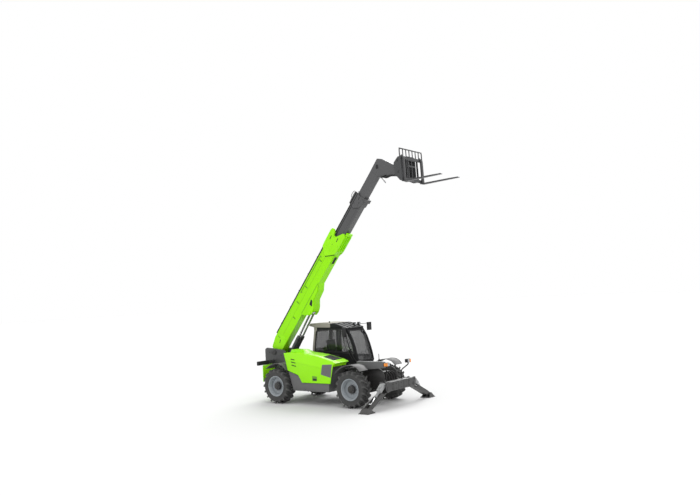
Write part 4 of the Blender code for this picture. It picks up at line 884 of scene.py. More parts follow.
pillar = [tube([(-1.16, 0.215, 2.36), (-1.11, 0.206, 2.18), (-1.06, 0.206, 1.95), (-0.97, 0.206, 1.68),
                (-0.84, 0.210, 1.42), (-0.72, 0.22, 1.26)], 0.013),
          tube([(-1.23, 0.215, 2.33), (-1.22, 0.204, 2.12), (-1.19, 0.204, 1.86), (-1.10, 0.204, 1.64),
                (-0.97, 0.208, 1.46), (-0.88, 0.225, 1.34)], 0.010),
          tube([(-1.20, 0.225, 2.38), (-1.15, 0.14, 2.43), (-1.10, 0.10, 2.38)], 0.011)]
fitted("pillar_rails", joined(pillar), trim_black, "chassis")
right_mirror = plate(rounded([(0.025, 2.08), (0.175, 2.08), (0.175, 2.40), (0.025, 2.40)], 0.03),
                     -1.135, -1.075, "X")
fitted("right_mirror_head", right_mirror, trim_black, "chassis", 0.012)
mirror_glass = Finish("mirror_glass", Metallic=0.9)
mirror_glass.surface(mirror_glass.blend(mirror_glass.noise(9.0), (0.55, 0.56, 0.58), (0.7, 0.71, 0.72)), 0.06)
mirror_panes = [plate(rounded([(0.038, 2.095), (0.162, 2.095), (0.162, 2.385), (0.038, 2.385)], 0.02),
                      -1.1375, -1.134, "X"),
                plate(rounded([(1.215, 2.26), (1.365, 2.26), (1.365, 2.49), (1.215, 2.49)], 0.02),
                      -0.967, -0.963, "X")]
fitted("mirror_panes", joined(mirror_panes), mirror_glass.material, "chassis")
eased("cab_mirror", trim_black, 0.010)
lamp_heads, lamp_faces = [], []
for x, y, z in ((-1.22, 1.10, 2.475), (-1.22, 0.86, 2.475)):
    lamp_heads.append(plate(rounded([(y - 0.05, z - 0.045), (y + 0.05, z - 0.045), (y + 0.05, z + 0.055),
                                     (y - 0.05, z + 0.055)], 0.02), x - 0.035, x + 0.035, "X"))
    lamp_heads.append(rod((x, y, z - 0.10), (x, y, z - 0.02), 0.010))
    lamp_faces.append(rod((x + 0.030, y, z + 0.005), (x + 0.040, y, z + 0.005), 0.040, steps=32))
fitted("work_lamp_heads", joined(lamp_heads), trim_black, "chassis", 0.006)
fitted("work_lamp_lenses", joined(lamp_faces), lens_clear, "chassis", 0.002)
skin = [plate(rounded([(-2.53, 1.50), (-2.555, 0.98), (-1.45, 0.98), (-1.45, 1.50)], 0.06), 0.228, 0.234)]
fitted("cab_lower_panel", joined(skin), trim_black, "chassis", 0.003)

# ---- Cab inside and door -------------------------------------------------------------------------------
# A sprung seat with two padded cushions of black vinyl, a moulded console with a steering wheel and
# levers, and a framed glass door on two hinges at its rear edge.
vinyl = Finish("seat_vinyl", Specular_IOR_Level=0.35)
hide = vinyl.node("ShaderNodeTexVoronoi", 0, None, {"Vector": vinyl.place(), "Scale": 260.0})
worn = vinyl.noise(8.0, 4.0)
vinyl.surface(vinyl.blend(worn, (0.014, 0.014, 0.015), (0.034, 0.034, 0.036)),
              0.55 + (worn - 0.5) * 0.2, hide, 0.0008)


coarse_grid, fine_grid = 0.010, 0.006
cloth_frames = 20


def cushion(name, corners, low, high, push):
    """A padded cushion: a plain block, inflated as cloth, its swelling capped."""
    mesh = plate(rounded(corners, 0.035, 4), low, high)
    pad = bpy.data.objects.new(name, mesh)
    scene.collection.objects.link(pad)
    soften = pad.modifiers.new("even", "REMESH")
    soften.mode = "VOXEL"
    soften.voxel_size = fine_grid
    even = settled(pad)
    pad.modifiers.clear()
    pad.data = even
    rest = [vertex.co.copy() for vertex in even.vertices]
    cloth = pad.modifiers.new("cloth", "CLOTH")
    cloth.settings.use_pressure = True
    cloth.settings.uniform_pressure_force = 4
    cloth.settings.effector_weights.gravity = 0
    for step in range(1, cloth_frames + 1):
        scene.frame_set(step)
    swollen = settled(pad)
    scene.frame_set(1)
    pad.modifiers.clear()
    for vertex, start in zip(swollen.vertices, rest):
        move = vertex.co - start
        if move.length > push:
            vertex.co = start + move.normalized() * push
    pad.data = swollen
    smooth = pad.modifiers.new("smooth", "SMOOTH")
    smooth.iterations = 6
    final = settled(pad)
    bpy.data.objects.remove(pad, do_unlink=True)
    piece = fitted(name, final, vinyl.material, "chassis", 0.0, 80)
    return piece


seat_parts = [
    cushion("seat_cushion", [(-2.09, 1.235), (-1.60, 1.225), (-1.585, 1.325), (-2.07, 1.31)], 0.475, 0.925,
            0.010),
    cushion("seat_back_cushion", [(-2.145, 1.35), (-2.055, 1.35), (-2.145, 1.975), (-2.215, 1.965)], 0.49,
            0.91, 0.010),
]
seat_base = joined([block((-2.05, -1.65), (0.50, 0.90), (0.8355, 0.96)),
                    block((-2.00, -1.70), (0.54, 0.86), (0.96, 1.14)),
                    block((-2.06, -1.62), (0.48, 0.92), (1.14, 1.222)),
                    block((-2.04, -1.72), (0.455, 0.495), (1.30, 1.42))])
base_piece = fitted("seat_base", seat_base, trim_black, "chassis", 0.006)
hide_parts("driver_seat")
for cushion_piece in seat_parts:
    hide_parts("driver_seat")
eased("steering_console", trim_black, 0.003)
levers = []
for k, y in enumerate((0.40, 0.46, 0.98)):
    levers.append(rod((-1.02, y, 1.34), (-1.08, y, 1.50), 0.007))
    levers.append(rod((-1.076, y, 1.49), (-1.092, y, 1.535), 0.016))
levers.append(rod((-1.85, 0.425, 1.20), (-1.80, 0.425, 1.44), 0.016))
levers.append(block((-2.02, -1.70), (0.385, 0.45), (1.15, 1.20)))
fitted("control_levers", joined(levers), trim_black, "chassis", 0.002)
eased("cab_door", painted("door_black", (0.018, 0.018, 0.019), 0.4, 0.08), 0.006)
door_parts = [rim_of(door_glass, 0.018, 1.1645, 1.1685),
              tube([(-1.12, 1.166, 1.36), (-1.12, 1.205, 1.37), (-1.10, 1.205, 1.385), (-0.98, 1.205, 1.39),
                    (-0.96, 1.190, 1.38), (-0.96, 1.166, 1.375)], 0.010),
              plate(rounded([(-2.09, 1.365), (-1.93, 1.365), (-1.93, 1.405), (-2.09, 1.405)], 0.015), 1.165,
                    1.180)]
fitted("door_fittings", joined(door_parts), rubber_seal.material, "door", 0.002)
rail = tube([(-2.235, 1.166, 1.00), (-2.235, 1.215, 1.04), (-2.235, 1.215, 1.50), (-2.235, 1.166, 1.54)],
            0.013)
fitted("grab_rail", rail, trim_black, "chassis")

# ---- Boom base section ------------------------------------------------------------------------------------
# A long box welded from folded plate and painted green. Overlay plates stiffen its tail and its mouth,
# clips hold a dark pipe along its back, and a bracket underneath takes the lift cylinders' pin.
boom_turn = math.radians(51.4)
boom = machine @ Matrix.Translation((pivot_x, 0, pivot_z)) @ Matrix.Rotation(-boom_turn, 4, "Y")
carriage_pin = Matrix.Translation((7.738, 0, -0.733))
pivot_spot = (front_axle_x + pivot_x, 0, pivot_z)


def lined_paint(name, low, high, groove_shade_colour, roughness, lines, gloss):
    """Paint on a boom section, darkened along pressed lines at set heights: painted shade in the grooves,
    which are also bumped in.
    """
    paint = Finish(name, Coat_Weight=gloss, Coat_Roughness=0.15, Specular_IOR_Level=gloss)
    across = paint.axis("Z", pivot_spot, -boom_turn)
    cloud = paint.noise(1.3, 3.0)
    grooves = 0.0
    for level, half in lines:
        grooves = (across > level - half) * (across < level + half) + grooves
    tone = paint.blend(cloud, low, high)
    tone = paint.blend(grooves, tone, groove_shade_colour)
    relief = paint.noise(320.0, 1.0) * 0.08 - grooves
    return paint.surface(tone, roughness + (cloud - 0.5) * 0.12, relief, 0.0015)


# The darker green line along the base section is painted shade in a pressed crease.
base_paint = lined_paint("boom_green_paint", (0.260, 0.700, 0.0025), (0.290, 0.770, 0.004),
                         (0.20, 0.54, 0.002), 0.36, ((0.165, 0.007),), 0.10)
# The seams, the raised hook line and the pipe clips are painted a darker green as painted shade along their
# edges.
painted_seam_shadow = painted("seam_shadow_green", (0.085, 0.230, 0.002), 0.45, 0.03)
eased("boom_base", base_paint, 0.010)
mouth = [(4.16, 0.45), (4.30, 0.462), (4.80, 0.470), (4.90, 0.43), (4.90, 0.34), (4.82, 0.27),
         (4.66, 0.235), (4.66, 0.19), (4.88, 0.03), (4.98, -0.04), (4.98, -0.11), (4.90, -0.152),
         (4.34, -0.150), (4.20, -0.12), (3.95, 0.17)]
tail_plate = [(-0.10, -0.06), (-0.02, -0.115), (0.50, -0.105), (0.60, 0.02), (0.60, 0.16), (0.46, 0.33),
              (0.30, 0.395), (-0.01, 0.32), (-0.12, 0.06)]
hook_line = [(3.80, 0.300), (3.80, 0.348), (3.70, 0.352), (2.42, 0.352), (2.34, 0.346), (2.34, 0.300)]
clip_spots = ((0.46, 0.20), (1.42, 0.03), (1.95, 0.20), (2.60, 0.20), (3.69, 0.20))
mouth_face, tail_face = 0.199, 0.162
overlays, overlay_heads, painted_shade_marks, seams = [], [], [], []
for _, side in both_sides:
    overlays.append(plate(rounded(mouth, 0.035, 4), *on_side(side, 0.151, mouth_face), "Y", boom))
    overlays.append(plate(rounded(tail_plate, 0.05, 4), *on_side(side, 0.150, tail_face), "Y", boom))
    seams.append(tube([(x, side * 0.151, z) for x, z in hook_line], 0.010, boom))
    seams.append(tube([(1.76, side * 0.1765, -0.100), (3.00, side * 0.1765, -0.100)], 0.007, boom, smooth=1))
    for x, z in clip_spots:
        seams.append(block((x - 0.012, x + 0.012), on_side(side, 0.149, 0.164), (z, z + 0.12), boom))
    for z in (-0.104, 0.404):
        overlays.append(tube([(0.45, side * 0.1500, z), (4.28, side * 0.1500, z)], 0.006, boom, smooth=1))
    for x, z in ((4.42, 0.41), (4.72, 0.41), (4.28, 0.33), (4.80, -0.07), (4.50, -0.09), (4.20, 0.10)):
        overlay_heads.append(((x, side * mouth_face, z), (0, side, 0)))
    for x, z in ((0.45, 0.26), (0.50, -0.02), (0.10, -0.06), (0.15, 0.30)):
        overlay_heads.append(((x, side * tail_face, z), (0, side, 0)))
    # Near-black sheets in the overlay slots, and a dark tube along the mouth plate's edge, are painted shade.
    for x0, z0, x1, z1 in ((4.52, 0.30, 4.66, 0.34), (4.60, 0.02, 4.74, 0.06), (4.42, 0.12, 4.45, 0.15)):
        slot = rounded([(x0, z0), (x1, z0 + 0.01), (x1, z1), (x0, z1 - 0.01)], 0.02)
        painted_shade_marks.append(plate(slot, *on_side(side, 0.198, 0.2003), "Y", boom))
    painted_shade_marks.append(plate(rounded([(0.30, 0.10), (0.42, 0.14), (0.42, 0.17), (0.30, 0.13)], 0.01),
                            *on_side(side, 0.161, 0.1633), "Y", boom))
    painted_shade_marks.append(tube([(4.140, side * 0.152, 0.450), (3.928, side * 0.152, 0.168),
                            (4.178, side * 0.152, -0.118)], 0.011, boom, smooth=1))
hatch_rim = rounded([(3.80, -0.095), (4.12, -0.095), (4.12, 0.095), (3.80, 0.095)], 0.02)
overlays.append(rim_of(hatch_rim, 0.025, -0.122, -0.109, "Z", boom))
# The hatch opening is a flat near-black sheet: painted shade inside the boom.
hatch = rounded([(3.825, -0.07), (4.095, -0.07), (4.095, 0.07), (3.825, 0.07)], 0.02)
painted_shade_marks.append(plate(hatch, -0.1125, -0.109, "Z", boom))
overlays.append(plate([(2.10, -0.445), (2.22, -0.420), (2.46, -0.250), (2.80, -0.220), (3.02, -0.10),
                       (3.02, -0.112), (2.80, -0.232), (2.46, -0.264), (2.22, -0.434), (2.10, -0.459)],
                      -0.148, 0.148, "Y", boom))
for y in (-0.1, 0.0, 0.1):
    overlays.append(block((4.34, 5.00), (y - 0.008, y + 0.008), (-0.175, -0.142), boom))
overlays.append(block((4.96, 5.04), (-0.14, 0.14), (-0.185, -0.142), boom))
# Near-black patches on the sides and in the bracket's slot below: painted shade.
for side in (-1, 1):
    painted_shade_marks.append(plate(rounded([(2.22, -0.34), (2.40, -0.24), (2.40, -0.16), (2.22, -0.20)], 0.02),
                            *on_side(side, 0.175, 0.1775), "Y", boom))
bracket_slot = rounded([(0.30, -0.04), (0.52, -0.04), (0.52, 0.04), (0.30, 0.04)], 0.02)
bracket_face = (boom @ Matrix.Translation((2.16, 0, -0.4515)) @ Matrix.Rotation(-0.62, 4, "Y")
                @ Matrix.Translation((-0.28, 0, 0)))
painted_shade_marks.append(plate(bracket_slot, 0.0, 0.0025, "Z", bracket_face))
fitted("boom_overlay_plates", joined(overlays), lime, "boom_outer", 0.003)
fitted("boom_seams_clips_painted_shade", joined(seams), painted_seam_shadow, "boom_outer")
fitted("boom_painted_shade_slots", joined(painted_shade_marks), painted_shade_sheet.material, "boom_outer")
bolts("boom_overlay_bolts", overlay_heads, "boom_outer", 0.016, boom, lime)
pipe = [tube([(0.50, -0.12, 0.40), (0.58, -0.125, 0.436), (0.80, -0.125, 0.440), (3.95, -0.125, 0.440),
              (4.08, -0.125, 0.445), (4.14, -0.125, 0.450)], 0.031, boom, 16),
        tube([(0.50, -0.06, 0.40), (0.60, -0.07, 0.435), (0.80, -0.075, 0.438), (4.22, -0.075, 0.440)], 0.012,
             boom, 12)]
pipe += [block((x, x + 0.03), (-0.157, -0.045), (0.408, 0.470), boom) for x in (0.9, 1.6, 2.3, 3.0, 3.7)]
fitted("boom_back_pipes", joined(pipe), trim_black, "boom_outer", 0.002)

# ---- Boom middle section, inner section and head ----------------------------------------------------------
# Two grey box sections that slide out of the base on wear pads. The middle one has a double guide line
# along its back edge and a bolted collar; the inner one ends in the cranked head with its hose bundle.
boom_greys = ((0.068, 0.068, 0.070), (0.082, 0.082, 0.084))
# The near-black double guide line on the middle section and the faint line on the inner one are painted shade
# in pressed grooves.
mid_paint = lined_paint("boom_grey_paint", *boom_greys, (0.006, 0.006, 0.006), 0.44,
                        ((0.228, 0.013), (0.300, 0.026), (0.0, 0.002)), 0.2)
inner_paint = lined_paint("boom_inner_grey_paint", *boom_greys, (0.05, 0.05, 0.052), 0.42,
                          ((0.02, 0.002),), 0.2)
eased("boom_mid", mid_paint, 0.007)
eased("boom_inner", inner_paint, 0.008)
collar_side = [(5.93, 0.355), (6.30, 0.372), (6.375, 0.33), (6.36, 0.20), (6.30, 0.10), (6.36, -0.02),
               (6.35, -0.085), (6.28, -0.108), (6.06, -0.10), (5.98, -0.05), (5.86, 0.13)]
collar_face = 0.159
mid_plates, mid_heads, mid_shade_marks = [], [], []
for _, side in both_sides:
    mid_plates.append(plate(rounded(collar_side, 0.03, 4), *on_side(side, 0.150, collar_face), "Y", boom))
    # A thin near-black line along the collar plate's edge and near-black sheets in its slots: painted shade.
    mid_shade_marks.append(tube([(5.925, side * 0.1515, 0.355), (5.852, side * 0.1515, 0.13),
                           (5.975, side * 0.1515, -0.055)], 0.004, boom, smooth=1))
    for x, z in ((6.08, 0.32), (6.28, 0.30), (6.02, 0.18), (6.12, 0.03), (6.28, -0.05)):
        mid_heads.append(((x, side * collar_face, z), (0, side, 0)))
    for x, z in ((6.16, 0.20), (6.20, 0.08)):
        slot = rounded([(x, z), (x + 0.10, z + 0.015), (x + 0.10, z + 0.04), (x, z + 0.025)], 0.01)
        mid_shade_marks.append(plate(slot, *on_side(side, 0.158, 0.1603), "Y", boom))
mid_plates.append(block((6.22, 6.35), (-0.15, 0.15), (-0.165, -0.104), boom))
mid_plates.append(block((6.27, 6.37), (-0.17, -0.05), (-0.195, -0.150), boom))
fitted("mid_collar_plates", joined(mid_plates), mid_paint, "boom_middle", 0.003)
bolts("mid_collar_bolts", mid_heads, "boom_middle", 0.014, boom)
fitted("mid_collar_shade_slots", joined(mid_shade_marks), painted_shade_sheet.material, "boom_middle")
loop = [tube([(6.10, side * 0.12, 0.37), (6.14, side * 0.125, 0.43), (6.24, side * 0.125, 0.445),
              (6.33, side * 0.12, 0.42), (6.34, side * 0.115, 0.375)], 0.009, boom) for side in (-1, 1)]
fitted("mid_hose_loops", joined(loop), trim_black, "boom_middle")
head_side = [(7.19, 0.215), (7.20, -0.075), (7.26, -0.165), (7.38, -0.275), (7.63, -0.655), (7.68, -0.70),
             (7.79, -0.69), (7.785, -0.42), (7.70, 0.085), (7.625, 0.225)]
head_plates, head_shade_marks = [], []
for _, side in both_sides:
    head_plates.append(plate(rounded(head_side, 0.03, 4), *on_side(side, 0.104, 0.110), "Y", boom))
    boss = turned([(0, 0.199), (0.052, 0.199), (0.060, 0.193), (0.060, 0.186), (0.092, 0.180), (0.092, 0.108),
                   (0, 0.108)], 36, carriage_pin)
    boss = mirrored(boss, side)
    boss.transform(boom)
    head_plates.append(boss)
    # Near-black sheet in the head plate's slot: painted shade in the opening.
    slot = rounded([(7.36, 0.07), (7.42, 0.03), (7.50, 0.11), (7.48, 0.17), (7.43, 0.165), (7.37, 0.12)],
                   0.02)
    head_shade_marks.append(plate(slot, *on_side(side, 0.109, 0.1123), "Y", boom))
head_plates.append(plate([(7.15, -0.066), (7.20, -0.136), (7.36, -0.296), (7.36, -0.310), (7.19, -0.150),
                          (7.14, -0.075)], -0.112, 0.112, "Y", boom))
fitted("head_side_plates", joined(head_plates), inner_paint, "boom_tip", 0.003)
fitted("head_shade_slots", joined(head_shade_marks), painted_shade_sheet.material, "boom_tip")
hoses = []
for k, y in enumerate((-0.075, -0.04, 0.0, 0.04, 0.075)):
    hoses.append(tube([(7.22, y, -0.145), (7.28, y, -0.26 - 0.01 * k), (7.42, y, -0.42), (7.56, y, -0.66),
                       (7.62, y, -0.80), (7.70, y, -0.845)], 0.013, boom))
hoses.append(rod((7.24, -0.09, -0.16), (7.20, -0.10, -0.40), 0.011, boom))
fitted("head_hoses", joined(hoses), trim_black, "boom_tip")
fitted("head_hose_coupling", joined([rod((7.203, -0.10, -0.38), (7.19, -0.103, -0.455), 0.020, boom),
                                     rod((7.19, -0.103, -0.45), (7.185, -0.105, -0.48), 0.013, boom)]),
       bolt_zinc, "boom_tip")

# ---- Lift cylinders ---------------------------------------------------------------------------------------
# Two hydraulic cylinders side by side, black barrels with chromed rods. Each barrel ends in a screwed
# gland, and a steel pipe runs along it to feed the rod end.
chrome = Finish("hard_chrome", Metallic=1.0)
polish = chrome.noise(30.0, 2.0, (0.2, 0.2, 0.2))
chrome.surface(chrome.blend(polish, (0.62, 0.63, 0.64), (0.80, 0.80, 0.81)), polish * 0.08 + 0.12,
               chrome.noise(600.0), 0.0001)
cylinder_black = painted("cylinder_black", (0.024, 0.024, 0.026), 0.36, 0.06, Coat_Weight=0.2)
eased("lift_barrels", cylinder_black, 0.002)
eased("lift_rods", chrome.material, 0.0)
lift_eye_along, lift_eye_below = 1.99, 0.36
lift_eye = Vector((pivot_x + lift_eye_along * math.cos(boom_turn) + lift_eye_below * math.sin(boom_turn), 0,
                   pivot_z + lift_eye_along * math.sin(boom_turn) - lift_eye_below * math.cos(boom_turn)))
lift_base = Vector((-3.70, 0, 0.98))
lift_rise = math.atan2(lift_eye.z - lift_base.z, lift_eye.x - lift_base.x)
lift = machine @ Matrix.Translation(lift_base) @ Matrix.Rotation(-lift_rise, 4, "Y")
glands = []
for y in (-0.095, 0.095):
    ring = turned([(0.0375, 1.28), (0.070, 1.28), (0.073, 1.29), (0.073, 1.37), (0.068, 1.38), (0.066, 1.41),
                   (0.048, 1.418), (0.0375, 1.418)], 40, Matrix())
    ring.transform(lift @ Matrix.Translation((0, y, 0)) @ Matrix.Rotation(-math.pi / 2, 4, "Z"))
    glands.append(ring)
    for x in (0.06, 0.70):
        band = turned([(0.0652, x), (0.069, x), (0.070, x + 0.005), (0.070, x + 0.04),
                       (0.0652, x + 0.045)], 40, Matrix())
        band.transform(lift @ Matrix.Translation((0, y, 0)) @ Matrix.Rotation(-math.pi / 2, 4, "Z"))
        glands.append(band)
    glands.append(tube([(0.12, y, 0.066), (0.16, y, 0.082), (0.30, y, 0.082), (1.20, y, 0.082),
                        (1.30, y, 0.078), (1.33, y, 0.066)], 0.008, lift))
fitted("lift_glands_and_pipes", joined(glands), cylinder_black, "lift_barrel", 0.0)

# ---- Fork carriage ----------------------------------------------------------------------------------------
# A frame of two cross bars between plates, hung on the head's pin. A guard of round-cornered bars keeps
# the load off the boom; the forks hook over the top bar and rest on the lower one.
fork_rise = math.radians(2.0)
hang = boom @ carriage_pin @ Matrix.Rotation(boom_turn - fork_rise, 4, "Y")
carriage_grey = painted("carriage_grey", (0.038, 0.039, 0.041), 0.42, 0.02)
fork_black = painted("fork_steel", (0.036, 0.036, 0.038), 0.40, 0.03)


def windowed(node, windows, shade, bevel, place):
    """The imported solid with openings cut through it, its edges eased."""
    copy = frame["nodes"][node].data.copy()
    shape = bmesh.new()
    shape.from_mesh(copy)
    bmesh.ops.remove_doubles(shape, verts=shape.verts, dist=0.00002)
    shape.to_mesh(copy)
    shape.free()
    carrier = bpy.data.objects.new("carrier", copy)
    scene.collection.objects.link(carrier)
    cutters = []
    for x, y, z in windows:
        cutter = bpy.data.objects.new("cutter", block(x, y, z, place))
        scene.collection.objects.link(cutter)
        cut = carrier.modifiers.new("window", "BOOLEAN")
        cut.operation = "DIFFERENCE"
        cut.solver = "EXACT"
        cut.object = cutter
        cutters.append(cutter)
    opened = settled(carrier)
    for helper in (*cutters, carrier):
        bpy.data.objects.remove(helper, do_unlink=True)
    shape = bmesh.new()
    shape.from_mesh(opened)
    bmesh.ops.remove_doubles(shape, verts=shape.verts, dist=0.00002)
    bmesh.ops.dissolve_limit(shape, angle_limit=math.radians(1.0), verts=shape.verts, edges=shape.edges)
    shape.to_mesh(opened)
    shape.free()
    piece = fitted(node + "_finished", opened, shade, frame["nodes"][node]["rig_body"], bevel)
    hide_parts(node)
    return piece


plate_windows = []
for low, high in ((-0.175, -0.015), (0.015, 0.175)):
    plate_windows.append(((0.33, 0.42), (low, high), (0.13, 0.27)))
    plate_windows.append(((0.33, 0.42), (low, high), (-0.25, 0.08)))
windowed("fork_carriage", plate_windows, carriage_grey, 0.004, hang)
for name, side in both_sides:
    eased("fork_" + name, fork_black, 0.005)
carriage_parts, fork_parts = [], []
pin_heads = []
for name, side in both_sides:
    for x, z, radius in ((0, 0, 0.046), (0.0, 0.36, 0.040), (0.26, 0.20, 0.022), (0.26, -0.22, 0.022)):
        carriage_parts.append(rod((x, side * 0.224, z), (x, side * 0.246, z), radius, hang, 24))
        pin_heads.append(((x, side * 0.246, z), (0, side, 0)))
    stiff = rounded([(-0.10, 0.12), (-0.12, 0.24), (-0.10, 0.30), (0.03, 0.43), (0.11, 0.44), (0.17, 0.40),
                     (0.17, 0.10), (0.10, -0.02), (0.10, -0.20), (0.03, -0.22), (-0.06, -0.08)], 0.03, 4)
    carriage_parts.append(plate(stiff, *on_side(side, 0.225, 0.233), "Y", hang))
    corner = [(0.376, side * 0.632, 0.40), (0.376, side * 0.632, 0.55), (0.376, side * 0.612, 0.595),
              (0.376, side * 0.575, 0.611)]
    carriage_parts.append(tube(corner, 0.019, hang))
    for k in range(4):
        y = side * (0.0895 + k * 0.1795)
        carriage_parts.append(rod((0.376, y, 0.37), (0.376, y, 0.612), 0.0155, hang, 12))
    for y in (-0.32, 0.32):
        carriage_parts.append(block((0.352, 0.397), (y - 0.02, y + 0.02), (-0.29, 0.30), hang))
    fork_parts.append((name, [
        block((0.345, 0.402), (side * fork_y - 0.055, side * fork_y + 0.055), (0.3815, 0.400), hang),
        block((0.338, 0.350), (side * fork_y - 0.055, side * fork_y + 0.055), (0.30, 0.400), hang),
        block((0.340, 0.402), (side * fork_y - 0.050, side * fork_y + 0.050), (-0.392, -0.3715), hang),
        rod((0.372, side * fork_y, 0.395), (0.372, side * fork_y, 0.43), 0.018, hang),
    ]))
carriage_parts.append(block((0.20, 0.36), (-0.20, 0.20), (0.40, 0.412), hang))
deck_slope = [(0.20, 0.405), (0.355, 0.38), (0.355, 0.368), (0.20, 0.393)]
carriage_parts.append(plate(deck_slope, -0.20, 0.20, "Y", hang))
fitted("carriage_details", joined(carriage_parts), carriage_grey, "carriage", 0.003)
bolts("carriage_pin_bolts", pin_heads, "carriage", 0.014, hang)
for name, meshes in fork_parts:
    fitted(f"fork_hooks_{name}", joined(meshes), fork_black, "carriage", 0.002)
carriage_hoses = []
for k, y in enumerate((-0.15, -0.10, -0.05, 0.06, 0.11)):
    carriage_hoses.append(tube([(0.20, y, 0.33), (0.26, y + 0.01, 0.30), (0.30, y + 0.02, 0.12),
                                (0.29, y + 0.01, -0.08), (0.20, y, -0.22), (0.13, y, -0.25)], 0.012, hang))
carriage_hoses.append(rod((0.13, -0.185, -0.24), (0.13, 0.185, -0.24), 0.020, hang))
carriage_hoses.append(rod((0.20, -0.185, 0.33), (0.20, 0.185, 0.33), 0.024, hang))
fitted("carriage_hoses", joined(carriage_hoses), trim_black, "carriage")
tilt_rod = rod((0.20, 0.015, 0.28), (0.225, 0.015, -0.20), 0.020, hang)
fitted("carriage_tilt_rod", joined([tilt_rod]), chrome.material, "carriage")

# ---- Stabilizers ------------------------------------------------------------------------------------------
# Channel legs that swing down from a cross beam, each pushed by a short cylinder, with a welded foot on
# a pin at the end. The cylinder's top is a light grey casing with its check valve bolted on.
leg_grey = painted("leg_grey", (0.028, 0.029, 0.030), 0.42, 0.10)
casing_grey = painted("casing_light_grey", (0.27, 0.275, 0.28), 0.38, 0.08)
leg_length, ankle_z = 1.08, 0.125
leg_drop = math.asin((hip_z - ankle_z) / leg_length)
jack_eye_y = 0.84
for name, side in both_sides:
    hip = (machine @ Matrix.Translation((hip_x, side * hip_y, hip_z))
           @ Matrix.Rotation(-side * leg_drop, 4, "X"))
    ankle = hip @ Matrix.Translation((0, side * leg_length, 0)) @ Matrix.Rotation(side * leg_drop, 4, "X")
    eased("leg_" + name, leg_grey, 0.004)
    eased("pad_" + name, leg_grey, 0.004)
    eased("jack_barrel_" + name, casing_grey, 0.002)
    eased("jack_rod_" + name, chrome.material, 0.0)
    shape = bmesh.new()
    walls = []
    for half, inner_end, outer_end, z in ((0.168, -0.150, 0.168, -0.110), (0.104, -0.030, 0.075, 0.030),
                                          (0.096, -0.030, 0.067, 0.030), (0.160, -0.150, 0.160, -0.110)):
        walls.append([shape.verts.new((x, side * y, z)) for x, y in (
            (-half, inner_end), (-half, outer_end), (half, outer_end), (half, inner_end))])
    for one, two in zip(walls, walls[1:] + walls[:1]):
        for k in range(3):
            shape.faces.new((one[k], one[k + 1], two[k + 1], two[k]))
    for k in (0, 3):
        shape.faces.new([wall[k] for wall in walls])
    foot = [solid(shape, ankle), rod((-0.122, 0, 0), (0.122, 0, 0), 0.0150, ankle, 20)]
    for edge in (-0.165, 0.165):
        foot.append(block((-0.17, 0.17), (edge - 0.006, edge + 0.006), (-0.112, -0.094), ankle))
        foot.append(block((edge - 0.006, edge + 0.006), (-0.17, 0.17), (-0.112, -0.094), ankle))
    fitted("foot_plates_" + name, joined(foot), leg_grey, "foot_" + name, 0.003)
    leg_parts = [rod((-0.094, 0, 0), (0.094, 0, 0), 0.068, hip, 32)]
    for x in (-0.0855, 0.0855):
        rib = rounded([(side * y, z) for y, z in (
            (0.08, -0.088), (0.90, -0.088), (0.96, -0.020), (0.90, 0.030), (0.40, 0.030), (0.24, -0.060))],
            0.02, 3)
        leg_parts.append(plate(rib, x - 0.0025, x + 0.0025, "X", hip))
    leg_parts.append(rod((-0.092, side * jack_eye_y, 0), (0.092, side * jack_eye_y, 0), 0.022, hip, 24))
    fitted("leg_ribs_" + name, joined(leg_parts), leg_grey, "stabilizer_" + name, 0.003)
    jack_foot = (jack_eye_y * math.cos(leg_drop) - 0.06, -jack_eye_y * math.sin(leg_drop) - 0.14)
    jack_angle = math.atan2(jack_foot[1], jack_foot[0])
    jack = (machine @ Matrix.Translation((hip_x, side * jack_top_y, jack_top_z))
            @ Matrix.Rotation(side * jack_angle, 4, "X"))
    neck = mirrored(turned([(0.030, 0.32), (0.052, 0.33), (0.052, 0.36), (0.030, 0.365)], 32, Matrix()), side)
    neck.transform(jack)
    casing_line = rounded([(-0.072, -0.055), (0.072, -0.055), (0.072, 0.077), (-0.072, 0.077)], 0.022, 4)
    casing = [rim_of(casing_line, 0.030, *on_side(side, 0.05, 0.33), "Y", jack), neck,
              block((-0.045, 0.045), on_side(side, 0.09, 0.24), (0.077, 0.102), jack)]
    fitted("jack_casing_" + name, joined(casing), casing_grey, "jack_tube_" + name, 0.005)
    gland = mirrored(turned([(0.0246, 0.515), (0.045, 0.515), (0.046, 0.520), (0.046, 0.548), (0.042, 0.553),
                             (0.0246, 0.553)], 32, Matrix()), side)
    gland.transform(jack)
    oil_line = tube([(0.0, side * 0.20, 0.100), (0.02, side * 0.27, 0.11), (0.03, side * 0.38, 0.066),
                     (0.02, side * 0.50, 0.050)], 0.008, jack)
    fitted("jack_gland_" + name, joined([gland, oil_line]), casing_grey, "jack_tube_" + name)
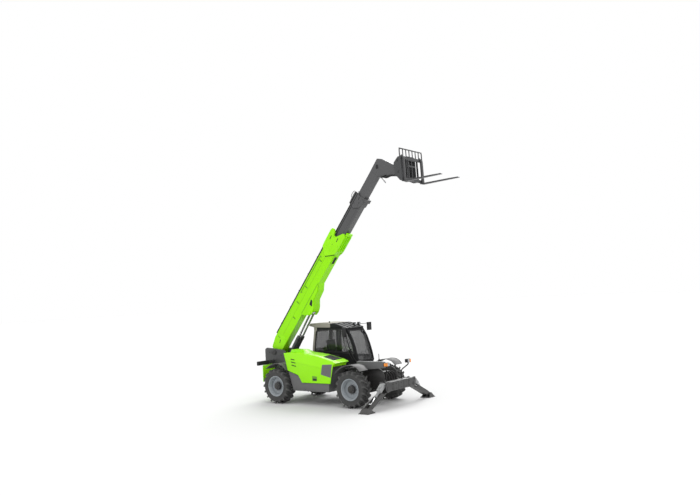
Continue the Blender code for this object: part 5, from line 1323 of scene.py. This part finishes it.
beam_parts = [block((1.118, 1.124), (-0.50, 0.50), (0.53, 0.735)),
              block((0.90, 1.12), (-0.56, 0.56), (0.757, 0.768))]
for y in (-0.42, -0.14, 0.14, 0.42):
    beam_parts.append(block((1.118, 1.130), (y - 0.006, y + 0.006), (0.505, 0.755)))
for side in (-1, 1):
    for x in (0.874, 1.126):
        for y, z, radius in ((hip_y, hip_z, 0.055), (jack_top_y, jack_top_z, 0.036)):
            beam_parts.append(rod((x - 0.008, side * y, z), (x + 0.008, side * y, z), radius, machine, 32))
fitted("beam_plates", joined(beam_parts), leg_grey, "chassis", 0.003)
beam_spots = [((1.130, y, z), (1, 0, 0)) for y in (-0.47, -0.28, 0.0, 0.28, 0.47) for z in (0.56, 0.70)]
bolts("beam_bolts", beam_spots, "chassis", 0.014)

# ---- Front lamps and antenna ------------------------------------------------------------------------------
# A headlamp with an amber indicator beside it, on a bent stalk at each front corner, and a short rod
# aerial on the left mudguard.
for name, side in both_sides:
    eased("front_lamp_" + name, trim_black, 0.008)
    amber = [block((1.060, 1.078), on_side(side, 0.625, 0.686), (1.252, 1.348)),
             block((0.985, 1.062), on_side(side, 0.684, 0.694), (1.255, 1.345))]
    fitted("indicator_lens_" + name, joined(amber), lens_amber, "chassis", 0.004)
    clear = [block((1.060, 1.078), on_side(side, 0.515, 0.618), (1.252, 1.348))]
    fitted("headlamp_lens_" + name, joined(clear), lens_clear, "chassis", 0.004)
    sleeve = tube([(0.87, side * 0.42, 0.79), (0.87, side * 0.42, 0.98), (0.89, side * 0.45, 1.05),
                   (0.98, side * 0.56, 1.15), (1.02, side * 0.60, 1.20), (1.02, side * 0.60, 1.25)], 0.019)
    fitted("lamp_stalk_sleeve_" + name, joined([sleeve]), trim_black, "chassis")
aerial = [rod((-0.31, 0.90, 1.245), (-0.31, 0.90, 1.30), 0.022),
          rod((-0.31, 0.90, 1.29), (-0.31, 0.90, 1.47), 0.011)]
fitted("aerial", joined(aerial), trim_black, "chassis", 0.001)
